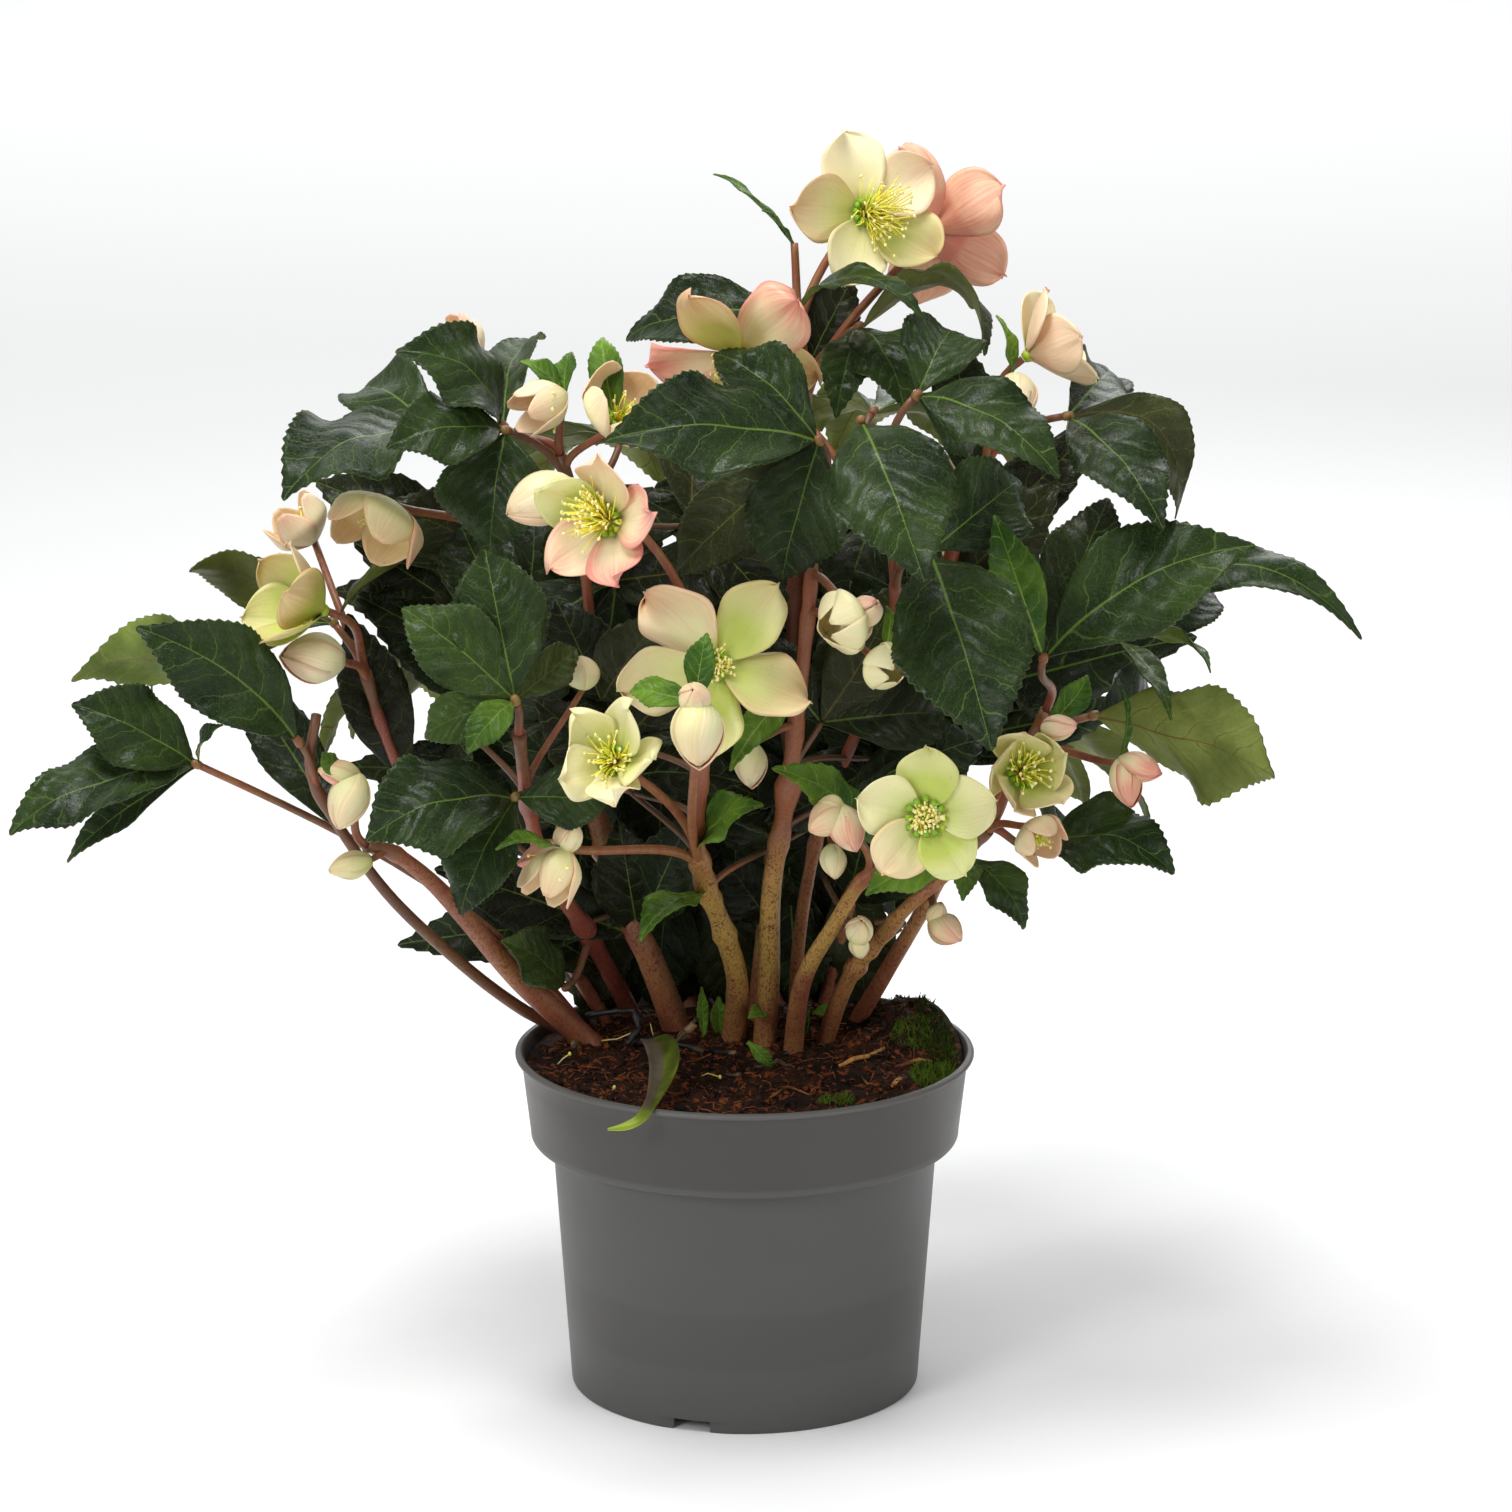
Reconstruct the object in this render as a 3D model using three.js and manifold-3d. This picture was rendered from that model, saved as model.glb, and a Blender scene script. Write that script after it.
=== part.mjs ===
// A hellebore in flower, growing in a round plastic nursery pot.
// Millimetres, +Z up. The origin is the middle of the pot's underside, and -Y is the front.
import * as THREE from 'three';
import { mergeVertices } from 'three/addons/utils/BufferGeometryUtils.js';
import Module from 'manifold-3d';

const wasm = await Module();
wasm.setup();

// ---------------------------------------------------------------- driving dimensions
const GAP = 0.3; // clearance kept between two touching pieces

const POT = {
  height: 142.8, lipRadius: 95, bandTop: 92.4, bandFoot: 88.8, bandHeight: 35,
  bodyTop: 79.8, bodyFoot: 72.6, wall: 1.3, floorRaise: 5, floorWall: 1.6, sides: 24,
  notchWidth: 15.5, recessWidth: 37, recessDepth: 1.4, notches: 3, firstNotch: -107.5,
};
const SOIL = {
  edge: 90.4, level: 137, holeEnd: 118, crown: 136, rings: [84, 66, 40, 0],
  rise: { x: 74, y: 42, height: 12.5, spreadX: 30, spreadY: 34 }, // heaped up against the wall
};
const LEAF = {
  thickness: 0.8, tooth: 0.05, fold: 0.12, wave: 0.22, foot: 0.9, hubRadius: 2, hubLength: 4,
  grids: [[40, 2, 5], [13, 2, 4], [0, 1, 3]], // from this width on: facets across and along
  innerGrid: [1, 3], // for the leaflets inside the plant
};
const SEPAL = { thickness: 0.8, rows: 3, width: 0.86, curl: 0.3, lap: 0.2 };
const RECEPTACLE = { radius: 3, back: 3, front: 1, foot: 2.2 };
const TRUNK_SIDES = 5;
const STALK = { sides: 3, steps: 3, shortSteps: 2, short: 55 };

// ---------------------------------------------------------------- the plant's plan
// Stems: name, radius at the soil and at the head, where it leaves the soil, and its way up.
const STEMS = [
  ['stem_01', 2.8, 2.1, [-70, 31], [[-93, 20, 153], [-116, 5, 176], [-143, -20, 211],
    [-161, -40, 244], [-172, -57, 273], [-169, -62, 298]]],
  ['stem_02', 6.0, 2.6, [-65, 22], [[-94, 5, 171], [-114, -12, 201], [-127, -28, 221],
    [-140, -42, 236], [-151, -50, 242]]],
  ['stem_03', 3.0, 2.0, [-68, 41], [[-102, 30, 184], [-131, 5, 237], [-146, -8, 277], [-153, -16, 305]]],
  ['stem_04', 3.2, 1.9, [-59, 56], [[-77, 40, 176], [-77, 20, 213], [-71, 5, 266],
    [-62, -25, 321], [-66, -45, 373], [-72, -50, 400]]],
  ['stem_05', 4.2, 2.4, [-48, 64], [[-66, 22, 186], [-80, -30, 226], [-85, -80, 268], [-87, -103, 300]]],
  ['stem_06', 6.5, 2.2, [-28, 38], [[-40, 30, 173], [-47, 28, 188], [-58, 30, 223],
    [-76, 28, 272], [-95, 16, 328], [-106, 0, 374]]],
  ['stem_07', 5.5, 2.0, [-5, 22], [[-3, 5, 169], [-9, -12, 197], [-16, -32, 222], [-19, -52, 246],
    [-16, -78, 280], [-13, -90, 310]]],
  ['stem_08', 5.2, 2.1, [8, 14], [[10, 5, 170], [11, -15, 214], [16, -32, 250], [20, -45, 284],
    [25, -60, 336], [28, -68, 378]]],
  ['stem_09', 4.5, 2.4, [20, 9], [[24, -8, 173], [36, -28, 202], [46, -48, 225], [57, -64, 240]]],
  ['stem_10', 4.2, 2.1, [33, 21], [[43, 0, 172], [56, -15, 194], [67, -28, 211], [83, -42, 229],
    [97, -54, 249]]],
  ['stem_11', 4.0, 2.0, [45, 40], [[57, 28, 163], [71, 15, 192], [84, 2, 220], [106, -15, 256],
    [121, -32, 293]]],
  ['stem_12', 3.0, 2.0, [21, 38], [[22, 32, 171], [26, 18, 208], [34, 0, 248], [51, -25, 296],
    [60, -42, 333], [56, -60, 385]]],
  ['stem_13', 4.5, 2.4, [5, 56], [[11, 50, 201], [19, 38, 282], [22, 22, 361], [24, 8, 413],
    [22, 2, 436]]],
  ['stem_14', 4.0, 2.2, [34, 64], [[44, 60, 190], [65, 42, 264], [84, 18, 345], [97, -2, 386]]],
  ['stem_15', 4.2, 2.2, [-24, 72], [[-32, 84, 180], [-48, 104, 230], [-62, 108, 290], [-66, 92, 345]]],
  ['stem_16', 4.2, 2.2, [12, 74], [[20, 88, 180], [38, 110, 235], [48, 112, 300], [46, 96, 360]]],
];

// Leaves: name, stem, how far up the stem (0 to 1), hub, and its leaflets, each with its
// tip, width, arch (the rise of the midrib over the chord), the way its upper face looks and,
// for some, how far its midrib bends sideways.
const OUTWARD = [0, 0, 0];
const FRONT = [0, -0.9, 0.4];
const LEAVES = [
  ['leaf_01', 'stem_02', 0.1, [-219, -45, 274], [
    [[-266, -60, 303], 34, 7, [-0.2, -0.8, 0.6]], [[-238, -46, 306], 10, 3, [-0.9, -0.3, 0.3]],
    [[-291, -80, 256], 35, 9, [-0.3, -0.7, 0.7]], [[-273, -52, 236], 13, 4, [-0.2, -0.8, 0.6]],
    [[-208, -52, 293], 10, 3, OUTWARD]]],
  ['leaf_02', 'stem_01', 0.84, [-176, -65, 288], [
    [[-235, -93, 340], 38, 7, [-0.3, -0.8, 0.5], 6],
    [[-271, -8, 304], 40, 10, [0.1, 0.85, 0.5], -14]]],
  ['leaf_03', 'stem_03', 1, [-166, -12, 325], [
    [[-221, -45, 356], 30, 7, [0.1, 0.85, 0.4]], [[-208, 30, 300], 24, 8, OUTWARD],
    [[-122, 30, 345], 24, 8, OUTWARD]]],
  ['leaf_04', 'stem_06', 0.985, [-121, -14, 402], [
    [[-181, -72, 389], 50, 12, [-0.3, -0.6, 0.75]], [[-160, 52, 408], 32, 12, OUTWARD]]],
  ['leaf_05', 'stem_04', 1, [-95, -45, 411], [
    [[-135, -68, 446], 38, 14, [-0.2, -0.6, 0.75]], [[-82, 14, 440], 26, 8, OUTWARD]]],
  ['leaf_06', 'stem_04', 0.95, [-93, -62, 412], [
    [[-138, -90, 411], 31, 8, [-0.2, -0.8, 0.5]], [[-99, -78, 366], 44, 6, [-0.1, -0.95, 0.3]]]],
  ['leaf_07', 'stem_05', 1, [-88, -110, 315], [
    [[-100, -96, 373], 38, 7, [0, -0.9, 0.35]], [[-132, -108, 352], 32, 8, [-0.2, -0.8, 0.6]],
    [[-106, -131, 299], 16, 5, [0, -0.8, 0.6]], [[-126, -99, 298], 20, 5, [0, -0.8, 0.5]],
    [[-64, -84, 331], 16, 4, [0.3, -0.9, 0.3]]]],
  ['leaf_08', 'stem_05', 0.82, [-89, -100, 274], [
    [[-147, -125, 264], 44, 12, [-0.1, -0.75, 0.65]], [[-111, -116, 230], 29, 6, [-0.3, -0.9, 0.3]],
    [[-52, -96, 271], 25, 6, [0.2, -0.9, 0.4]]]],
  ['leaf_09', 'stem_05', 0.3, [-74, 8, 166], [
    [[-99, -10, 192], 26, 5, [-0.3, -0.6, 0.7]]]],
  ['leaf_10', 'stem_08', 1, [29, -85, 412], [
    [[-52, -124, 421], 44, 9, [-0.1, -0.8, 0.6]], [[-13, -68, 445], 30, 10, [0, -0.75, 0.65]],
    [[14, -86, 356], 42, 5, [-0.1, -0.95, 0.3]], [[-30, -66, 354], 30, 5, FRONT]]],
  ['leaf_11', 'stem_12', 0.96, [45, -92, 421], [
    [[68, -150, 370], 48, 10, [0, -0.9, 0.4]]]],
  ['leaf_12', 'stem_12', 1, [67, -75, 428], [
    [[121, -120, 405], 34, 11, [0.1, -0.7, 0.7]], [[83, -38, 449], 33, 8, [0, -0.8, 0.6]],
    [[92, -54, 402], 20, 5, [0.2, -0.9, 0.3]]]],
  ['leaf_13', 'stem_14', 1, [128, -35, 413], [
    [[162, -96, 381], 35, 9, [0.1, -0.8, 0.6]], [[177, -8, 366], 27, 6, [0.1, -0.8, 0.5], -20],
    [[150, 40, 418], 28, 9, OUTWARD]]],
  ['leaf_14', 'stem_12', 0.84, [72, -84, 368], [
    [[94, -150, 305], 54, 11, [0, -0.9, 0.4]], [[110, -50, 392], 38, 6, [0.2, -0.9, 0.4]]]],
  ['leaf_15', 'stem_11', 1, [117, -80, 325], [
    [[196, -97, 374], 44, 4, [0.1, -0.85, 0.5], -8], [[97, -80, 382], 20, 4, [-0.1, -0.9, 0.35]],
    [[144, -50, 385], 32, 6, FRONT]]],
  ['leaf_16', 'stem_14', 0.84, [150, -12, 318], [
    [[248, -51, 329], 27, 32, [0.15, -0.6, 0.8], -8], [[188, -44, 313], 13, 8, OUTWARD],
    [[168, -80, 303], 10, 6, [0.2, -0.8, 0.5]], [[196, 30, 330], 28, 9, OUTWARD]]],
  ['leaf_17', 'stem_11', 0.9, [140, -41, 293], [
    [[211, -78, 279], 53, 3, [0, 0.9, 0.4]], [[168, 14, 290], 26, 8, OUTWARD]]],
  ['leaf_18', 'stem_10', 1, [116, -60, 242], [
    [[171, -86, 241], 41, 14, [0.1, -0.55, 0.85]], [[122, -4, 250], 26, 8, OUTWARD]]],
  ['leaf_19', 'stem_09', 1, [87, -68, 242], [
    [[47, -86, 232], 19, 5, [0, -0.7, 0.7]], [[86, -92, 230], 13, 7, [0.1, -0.7, 0.7]],
    [[112, -84, 216], 19, 8, [0.3, -0.7, 0.6]]]],
  ['leaf_20', 'stem_13', 1, [20, -18, 452], [
    [[71, -60, 458], 20, 15, [0.1, -0.35, 0.9]], [[-50, -2, 440], 32, 8, [-0.1, -0.7, 0.7]]]],
  ['leaf_21', 'stem_13', 0.93, [46, -4, 444], [
    [[98, -34, 438], 34, 26, [0.3, 0.35, 0.85]], [[36, -42, 414], 20, 7, [-0.1, -0.9, 0.4]],
    [[64, -46, 418], 29, 8, [0.2, -0.8, 0.5]]]],
];

// The back of the plant: each leaf has five leaflets spread like a hand. Name, stem, how far
// up it, bearing round the pot in degrees, the hub's distance out and height, leaflet length.
const BACK_LEAVES = [
  ['leaf_22', 'stem_16', 0.62, 32, 118, 268, 92],
  ['leaf_23', 'stem_16', 1, 62, 116, 392, 96],
  ['leaf_24', 'stem_16', 0.78, 84, 148, 318, 98],
  ['leaf_25', 'stem_15', 1, 118, 112, 380, 96],
  ['leaf_26', 'stem_15', 0.66, 146, 128, 296, 94],
];
const HAND = [[-78, 0.8], [-40, 0.95], [0, 1], [40, 0.95], [78, 0.8]]; // bearing, share of length

// Blooms: name, stem, how far up, centre, the way it looks, sepal length, the sepals' lean
// from that way at their foot and at their tip, the turn of the first sepal, own boss or not
// and, for a narrow one, the sepals' width over their length.
const BLOOMS = [
  ['bloom_01', 'stem_13', 1, [48, -2, 489], [0.25, -0.93, 0.28], 31, 72, 84, 110, 1],
  ['bloom_02', 'stem_13', 0.9, [75, 22, 478], [0.3, 0.88, 0.25], 33, 74, 88, -40, 0],
  ['bloom_03', 'stem_13', 0.8, [-3, -52, 440], [0.05, -0.8, -0.58], 34, 88, 104, 120, 0],
  ['bloom_04', 'stem_07', 1, [-51, -110, 385], [-0.45, -0.85, 0.12], 28, 80, 48, 80, 1],
  ['bloom_05', 'stem_07', 0.97, [-11, -102, 327], [0.05, -0.96, 0.25], 36, 80, 94, 126, 1, 0.8],
  ['bloom_06', 'stem_07', 0.6, [-49, -129, 295], [-0.25, -0.85, 0.42], 24, 66, 34, 62, 0],
  ['bloom_07', 'stem_09', 1, [70, -112, 269], [0.05, -0.97, 0.2], 26, 66, 84, 90, 1],
  ['bloom_08', 'stem_10', 1, [108, -86, 280], [0.25, -0.93, 0.25], 21, 84, 22, 100, 0],
  ['bloom_09', 'stem_03', 1, [-167, -54, 339], [-0.86, -0.35, 0.38], 30, 58, 16, 40, 0],
  ['bloom_10', 'stem_14', 0.98, [113, -26, 436], [0.8, 0.1, 0.5], 27, 60, 32, -5, 0],
  ['bloom_11', 'stem_15', 0.8, [-98, 136, 324], [-0.3, 0.85, 0.3], 30, 72, 84, 20, 0],
  ['bloom_12', 'stem_16', 0.8, [94, 136, 336], [0.35, 0.85, 0.3], 30, 70, 80, 50, 0],
];

// Twigs: stem, how far up, end, radius, what sits on the end and, for some, the way it comes in.
// A bud and a half-open cup have their heading, length and width; a bract its tip, width, arch.
const TWIGS = [
  ['stem_02', 1, [-154, -58, 272], 1.5, [['bud', [-0.3, -0.45, -0.84], 24, 15],
    ['bud', [-0.9, -0.3, 0.25], 17, 9], ['bract', [-168, -68, 284], 9, 2]]],
  ['stem_02', 0.92, [-150, -56, 237], 1.3, [['bud', [-0.92, -0.3, -0.2], 17, 10]]],
  ['stem_03', 0.97, [-160, -50, 318], 1.5, [['bud', [-0.95, -0.25, 0.1], 25, 19]]],
  ['stem_03', 0.9, [-176, 22, 352], 1.5, [['cup', [-0.65, -0.1, 0.75], 19, 25]]],
  ['stem_04', 0.9, [-67, -92, 395], 1.5, [['bud', [-0.84, -0.45, -0.3], 28, 19]]],
  ['stem_04', 1, [-70, -62, 426], 1.5, [['cup', [-0.8, -0.5, -0.33], 22, 19],
    ['bract', [-87, -60, 440], 10, 3], ['bract', [-68, -50, 442], 9, 2]]],
  ['stem_04', 0.97, [-50, -62, 414], 1.4, [['cup', [0.45, -0.5, 0.74], 19, 35],
    ['bract', [-56, -42, 447], 14, 4]]],
  ['stem_05', 0.86, [-62, -78, 314], 1.2, [['bud', [-0.2, -0.3, 0.93], 13, 12]]],
  ['stem_05', 0.62, [-57, -38, 298], 1.5, [['bract', [-31, -62, 340], 26, 6, FRONT],
    ['bract', [-75, -40, 341], 28, 6, FRONT]]],
  ['stem_06', 0.9, [-140, -36, 378], 1.6, [['cup', [-0.45, -0.5, -0.72], 22, 38]]],
  ['stem_06', 0.97, [-108, 10, 427], 1.6, [['cup', [-0.72, -0.2, 0.66], 21, 24],
    ['bud', [0.1, -0.5, -0.85], 14, 11]]],
  ['stem_07', 0.52, [-18, -147, 322], 1.6, [['bud', [0.05, -0.45, -0.9], 26, 19],
    ['bud', [-0.1, -0.75, 0.65], 12, 11], ['bract', [-14, -142, 349], 12, 3],
    ['bract', [-44, -140, 326], 13, 3]], [0, -0.35, 0.94]],
  ['stem_07', 0.55, [-70, -98, 253], 1.7, [['cup', [-0.4, -0.35, -0.84], 23, 22],
    ['bud', [-0.92, -0.3, -0.25], 20, 10], ['bud', [0.25, -0.3, 0.92], 13, 10],
    ['bract', [-95, -126, 262], 10, 3]]],
  ['stem_08', 0.9, [44, -92, 344], 1.5, [['cup', [-0.72, -0.6, -0.15], 18, 25],
    ['bud', [0.5, -0.7, 0.5], 15, 11], ['bud', [-0.1, -0.6, -0.8], 13, 11]]],
  ['stem_08', 0.84, [52, -92, 327], 1.4, [['cup', [0.4, -0.75, -0.2], 16, 19]]],
  ['stem_08', 0.66, [2, -62, 286], 1.3, [['bud', [0.05, -0.3, -0.95], 18, 12]]],
  ['stem_09', 0.86, [33, -79, 265], 1.4, [['bud', [-0.55, -0.5, -0.5], 14, 12],
    ['bud', [0.65, -0.45, -0.6], 20, 13], ['bud', [-0.7, -0.3, 0.65], 9, 8]]],
  ['stem_12', 0.44, [35, -48, 240], 1.3, [['bud', [0.1, -0.5, -0.85], 13, 9]]],
  ['stem_10', 0.4, [46, -31, 198], 1.2, [['bud', [0.1, -0.6, 0.75], 13, 10],
    ['bud', [0.15, -0.4, -0.9], 9, 7]]],
  ['stem_10', 0.98, [112, -86, 259], 1.4, [['cup', [0.5, -0.6, -0.5], 15, 20]]],
  ['stem_11', 0.46, [77, -24, 203], 1.5, [['bud', [0.75, -0.5, -0.42], 15, 12],
    ['bud', [0.3, -0.3, 0.9], 10, 7]]],
  ['stem_11', 0.84, [148, -80, 283], 1.6, [['bud', [0.9, -0.4, -0.15], 18, 11],
    ['bud', [0.2, -0.5, -0.84], 19, 11], ['bract', [150, -76, 312], 5, 2]]],
  ['stem_11', 0.94, [118, -82, 297], 1.4, [['bud', [0.8, -0.55, 0.2], 15, 9],
    ['bract', [136, -74, 317], 12, 3]]],
  ['stem_14', 1, [106, -34, 427], 1.5, [['bud', [0.2, -0.85, -0.5], 22, 14],
    ['bract', [101, -28, 453], 9, 2]]],
  ['stem_13', 0.97, [20, 6, 476], 1.6, [['bract', [-11, 14, 505], 9, 2],
    ['bract', [8, 2, 491], 6, 1]]],
  ['stem_15', 0.8, [-40, 138, 318], 1.5, [['bud', [0.1, 0.7, -0.7], 22, 15],
    ['bract', [-56, 150, 334], 12, 3]]],
  ['stem_16', 0.96, [0, 126, 412], 1.5, [['cup', [-0.1, 0.7, 0.7], 19, 22],
    ['bract', [-14, 118, 428], 12, 3]]],
];

// Bracts and inner leaflets that grow straight from a stem: stem, how far up, tip, width, arch
// and, for some, the way their upper face looks.
const STEM_BRACTS = [
  ['stem_07', 0.5, [-42, -76, 212], 18, 5], ['stem_07', 0.62, [6, -74, 266], 22, 6],
  ['stem_08', 0.74, [-6, -92, 284], 14, 5], ['stem_12', 0.7, [58, -82, 349], 8, 3],
  ['stem_09', 1, [13, -98, 287], 23, 8], ['stem_08', 0.14, [2, -4, 157], 7, 1],
  ['stem_06', 0.25, [-52, 14, 236], 30, 5, FRONT], ['stem_06', 0.25, [-22, 8, 240], 30, 5, FRONT],
  ['stem_13', 0.3, [-10, 30, 254], 34, 6, FRONT], ['stem_13', 0.3, [36, 32, 258], 34, 6, FRONT],
  ['stem_14', 0.25, [56, 46, 246], 30, 5, FRONT], ['stem_14', 0.25, [84, 40, 226], 28, 5, FRONT],
  ['stem_14', 0.36, [48, 20, 314], 32, 6, FRONT], ['stem_14', 0.75, [128, 14, 378], 34, 6, FRONT],
  ['stem_14', 0.95, [84, 14, 440], 26, 5, FRONT], ['stem_13', 0.955, [44, 12, 462], 24, 5, FRONT],
  ['stem_13', 0.75, [-38, 24, 374], 36, 6, FRONT], ['stem_16', 0.12, [10, 64, 208], 34, 5, FRONT],
  ['stem_16', 0.12, [56, 86, 205], 34, 5, FRONT], ['stem_15', 0.12, [-62, 66, 190], 34, 5, FRONT],
  ['stem_15', 0.12, [-24, 72, 215], 34, 5, FRONT], ['stem_03', 0.75, [-161, -3, 327], 28, 6, FRONT],
  ['stem_01', 0.75, [-204, 2, 298], 26, 6, FRONT], ['stem_06', 0.45, [-120, 20, 282], 36, 6, FRONT],
  ['stem_06', 0.4, [-104, 50, 230], 34, 6, FRONT], ['stem_06', 0.9, [-146, 0, 372], 28, 5, FRONT],
  ['stem_06', 0.62, [-158, 12, 332], 40, 6, FRONT], ['stem_16', 0.1, [-8, 70, 180], 28, 4, FRONT],
  ['stem_13', 0.42, [32, 32, 296], 30, 5, FRONT],
];

const COLOUR = {
  pot: 0x585856, soil: 0x3a2218, stem: 0x7a4a34, leaf: 0x26402a, boss: 0xd8d24a,
  blooms: [0xf3ead0, 0xe8a898, 0xd9a184, 0xeccdb4, 0xe6e6b8, 0xf0eec4, 0xe9e8b0, 0xeedcb8,
    0xf0d0b8, 0xefc4ac, 0xecd2b8, 0xf0e6c8],
};

// ---------------------------------------------------------------- tools
const vec = (p) => new THREE.Vector3(p[0], p[1], p[2]);
const along = (from, way, distance) => from.clone().addScaledVector(way, distance);
const radians = THREE.MathUtils.degToRad;

function solid(geometry) {
  const bare = geometry.clone();
  bare.deleteAttribute('normal');
  bare.deleteAttribute('uv');
  const merged = mergeVertices(bare, 1e-4);
  const faces = [];
  for (let i = 0; i < merged.index.count; i += 3) {
    const [a, b, c] = [0, 1, 2].map((k) => merged.index.getX(i + k));
    if (a !== b && b !== c && c !== a) faces.push(a, b, c);
  }
  return new wasm.Manifold(new wasm.Mesh({
    numProp: 3,
    vertProperties: Float32Array.from(merged.attributes.position.array),
    triVerts: Uint32Array.from(faces),
  }));
}

const fuse = (solids) => solids.reduce((whole, next) => whole.add(next));

function mesh(name, whole, colour, roughness) {
  const { vertProperties, triVerts } = whole.getMesh();
  const geometry = new THREE.BufferGeometry();
  geometry.setAttribute('position', new THREE.BufferAttribute(Float32Array.from(vertProperties), 3));
  geometry.setIndex(new THREE.BufferAttribute(Uint32Array.from(triVerts), 1));
  const piece = new THREE.Mesh(geometry, new THREE.MeshStandardMaterial({
    color: colour, roughness, metalness: 0, name,
  }));
  piece.name = name;
  return piece;
}

// A ring-shaped profile of [radius, height] pairs turned round the Z axis.
function turned(profile, sides) {
  const points = profile.map(([radius, height]) => new THREE.Vector2(radius, height));
  return new THREE.LatheGeometry(points, sides).rotateX(Math.PI / 2);
}

// A round rod along a curve, its radius going evenly from one end to the other.
function rod(curve, startRadius, endRadius, sides, steps) {
  const geometry = new THREE.CylinderGeometry(1, 1, 1, sides, steps);
  const frames = curve.computeFrenetFrames(steps);
  const position = geometry.attributes.position;
  for (let i = 0; i < position.count; i += 1) {
    const share = position.getY(i) + 0.5;
    const step = Math.round(share * steps);
    const radius = startRadius + (endRadius - startRadius) * share;
    const point = curve.getPointAt(share)
      .addScaledVector(frames.binormals[step], position.getX(i) * radius)
      .addScaledVector(frames.normals[step], position.getZ(i) * radius);
    position.setXYZ(i, point.x, point.y, point.z);
  }
  return solid(geometry);
}

// A thin blade. place(u, t) gives the point and normal for u across (-1 to 1) and t along
// (0 to 1); both faces are split into triangles alike.
function blade(across, rows, thickness, place) {
  const grid = new THREE.PlaneGeometry(2, 1, across, rows);
  const flat = grid.attributes.position;
  const count = flat.count;
  const points = new Float32Array(count * 6);
  for (let i = 0; i < count; i += 1) {
    const { point, normal } = place(flat.getX(i), flat.getY(i) + 0.5);
    along(point, normal, thickness / 2).toArray(points, i * 3);
    along(point, normal, -thickness / 2).toArray(points, (count + i) * 3);
  }
  const faces = [];
  for (let i = 0; i < grid.index.count; i += 3) {
    const [a, b, c] = [0, 1, 2].map((k) => grid.index.getX(i + k));
    faces.push(a, b, c, count + a, count + c, count + b);
  }
  const rim = [];
  const row = across + 1;
  for (let i = 0; i < across; i += 1) rim.push(i);
  for (let j = 0; j < rows; j += 1) rim.push(across + row * j);
  for (let i = across; i > 0; i -= 1) rim.push(row * rows + i);
  for (let j = rows; j > 0; j -= 1) rim.push(row * j);
  rim.forEach((a, i) => {
    const b = rim[(i + 1) % rim.length];
    faces.push(a, b, count + b, a, count + b, count + a);
  });
  const geometry = new THREE.BufferGeometry();
  geometry.setAttribute('position', new THREE.BufferAttribute(points, 3));
  geometry.setIndex(faces);
  return solid(geometry);
}

// ---------------------------------------------------------------- leaves
const outward = (point) => vec([point.x * 0.7, point.y * 0.7, 0.5 * (point.z - 150)]).normalize();

function leafletGrid(width) {
  return LEAF.grids.find(([least]) => width >= least).slice(1);
}

// A leaflet: narrow at its foot, widest past the middle, pointed, with a sawn, waved edge.
function leaflet(foot, tip, width, arch, faceHint, turn, bow = 0, grid = leafletGrid(width)) {
  const [across, rows] = grid;
  const face = faceHint.some((n) => n !== 0) ? vec(faceHint) : outward(foot.clone().lerp(tip, 0.5));
  const chord = tip.clone().sub(foot);
  const side = chord.clone().cross(face).normalize();
  const up = side.clone().cross(chord).normalize();
  const phase = 2.4 * turn;
  const teeth = [1 - LEAF.tooth, 1 + LEAF.tooth];
  return blade(across, rows, LEAF.thickness, (u, t) => {
    const slope = chord.clone().addScaledVector(up, 4 * arch * (1 - 2 * t)).normalize();
    const normal = side.clone().cross(slope);
    const swell = Math.sin(Math.PI * t ** 1.15) ** 0.85;
    const half = Math.max(0.5 * width * swell * teeth[Math.round(t * rows) % 2], t < 0.5 ? 0.9 : 0.4);
    const lift = half * u * u * (LEAF.fold + LEAF.wave * Math.sin(9 * t + phase + u));
    const point = along(foot, chord, t)
      .addScaledVector(up, 4 * arch * t * (1 - t))
      .addScaledVector(side, u * half + 4 * bow * t * (1 - t))
      .addScaledVector(normal, lift);
    return { point, normal };
  });
}

function leafHub(hub, heading) {
  const half = LEAF.hubLength / 2;
  const line = new THREE.LineCurve3(along(hub, heading, -half), along(hub, heading, half));
  return rod(line, LEAF.hubRadius, LEAF.hubRadius * 0.7, 4, 1);
}

function leaf(leafPlan) {
  const hub = vec(leafPlan.hub);
  const leaflets = leafPlan.leaflets.map(([tip, width, arch, face, bow], i) => {
    const foot = along(hub, vec(tip).sub(hub).normalize(), LEAF.foot);
    return leaflet(foot, vec(tip), width, arch, face, i, bow);
  });
  return fuse([leafHub(hub, leafPlan.heading), ...leaflets]);
}

// A leaf at the back, as the same kind of row as LEAVES has.
function backLeaf([name, stem, share, bearing, distance, height, reach]) {
  const way = (degrees) => vec([Math.cos(radians(degrees)), Math.sin(radians(degrees)), 0]);
  const hub = way(bearing).multiplyScalar(distance).setZ(height);
  const leaflets = HAND.map(([spread, portion], i) => {
    const length = reach * portion;
    const drop = height > 350 ? 0.34 : 0.5;
    const tip = along(hub, way(bearing + spread), length * 0.86).add(vec([0, 0, -length * drop]));
    const width = 0.4 * length + 3 * Math.cos(2 * i);
    return [tip.toArray(), width, 0.16 * length, OUTWARD];
  });
  return [name, stem, share, hub.toArray(), leaflets];
}

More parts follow.
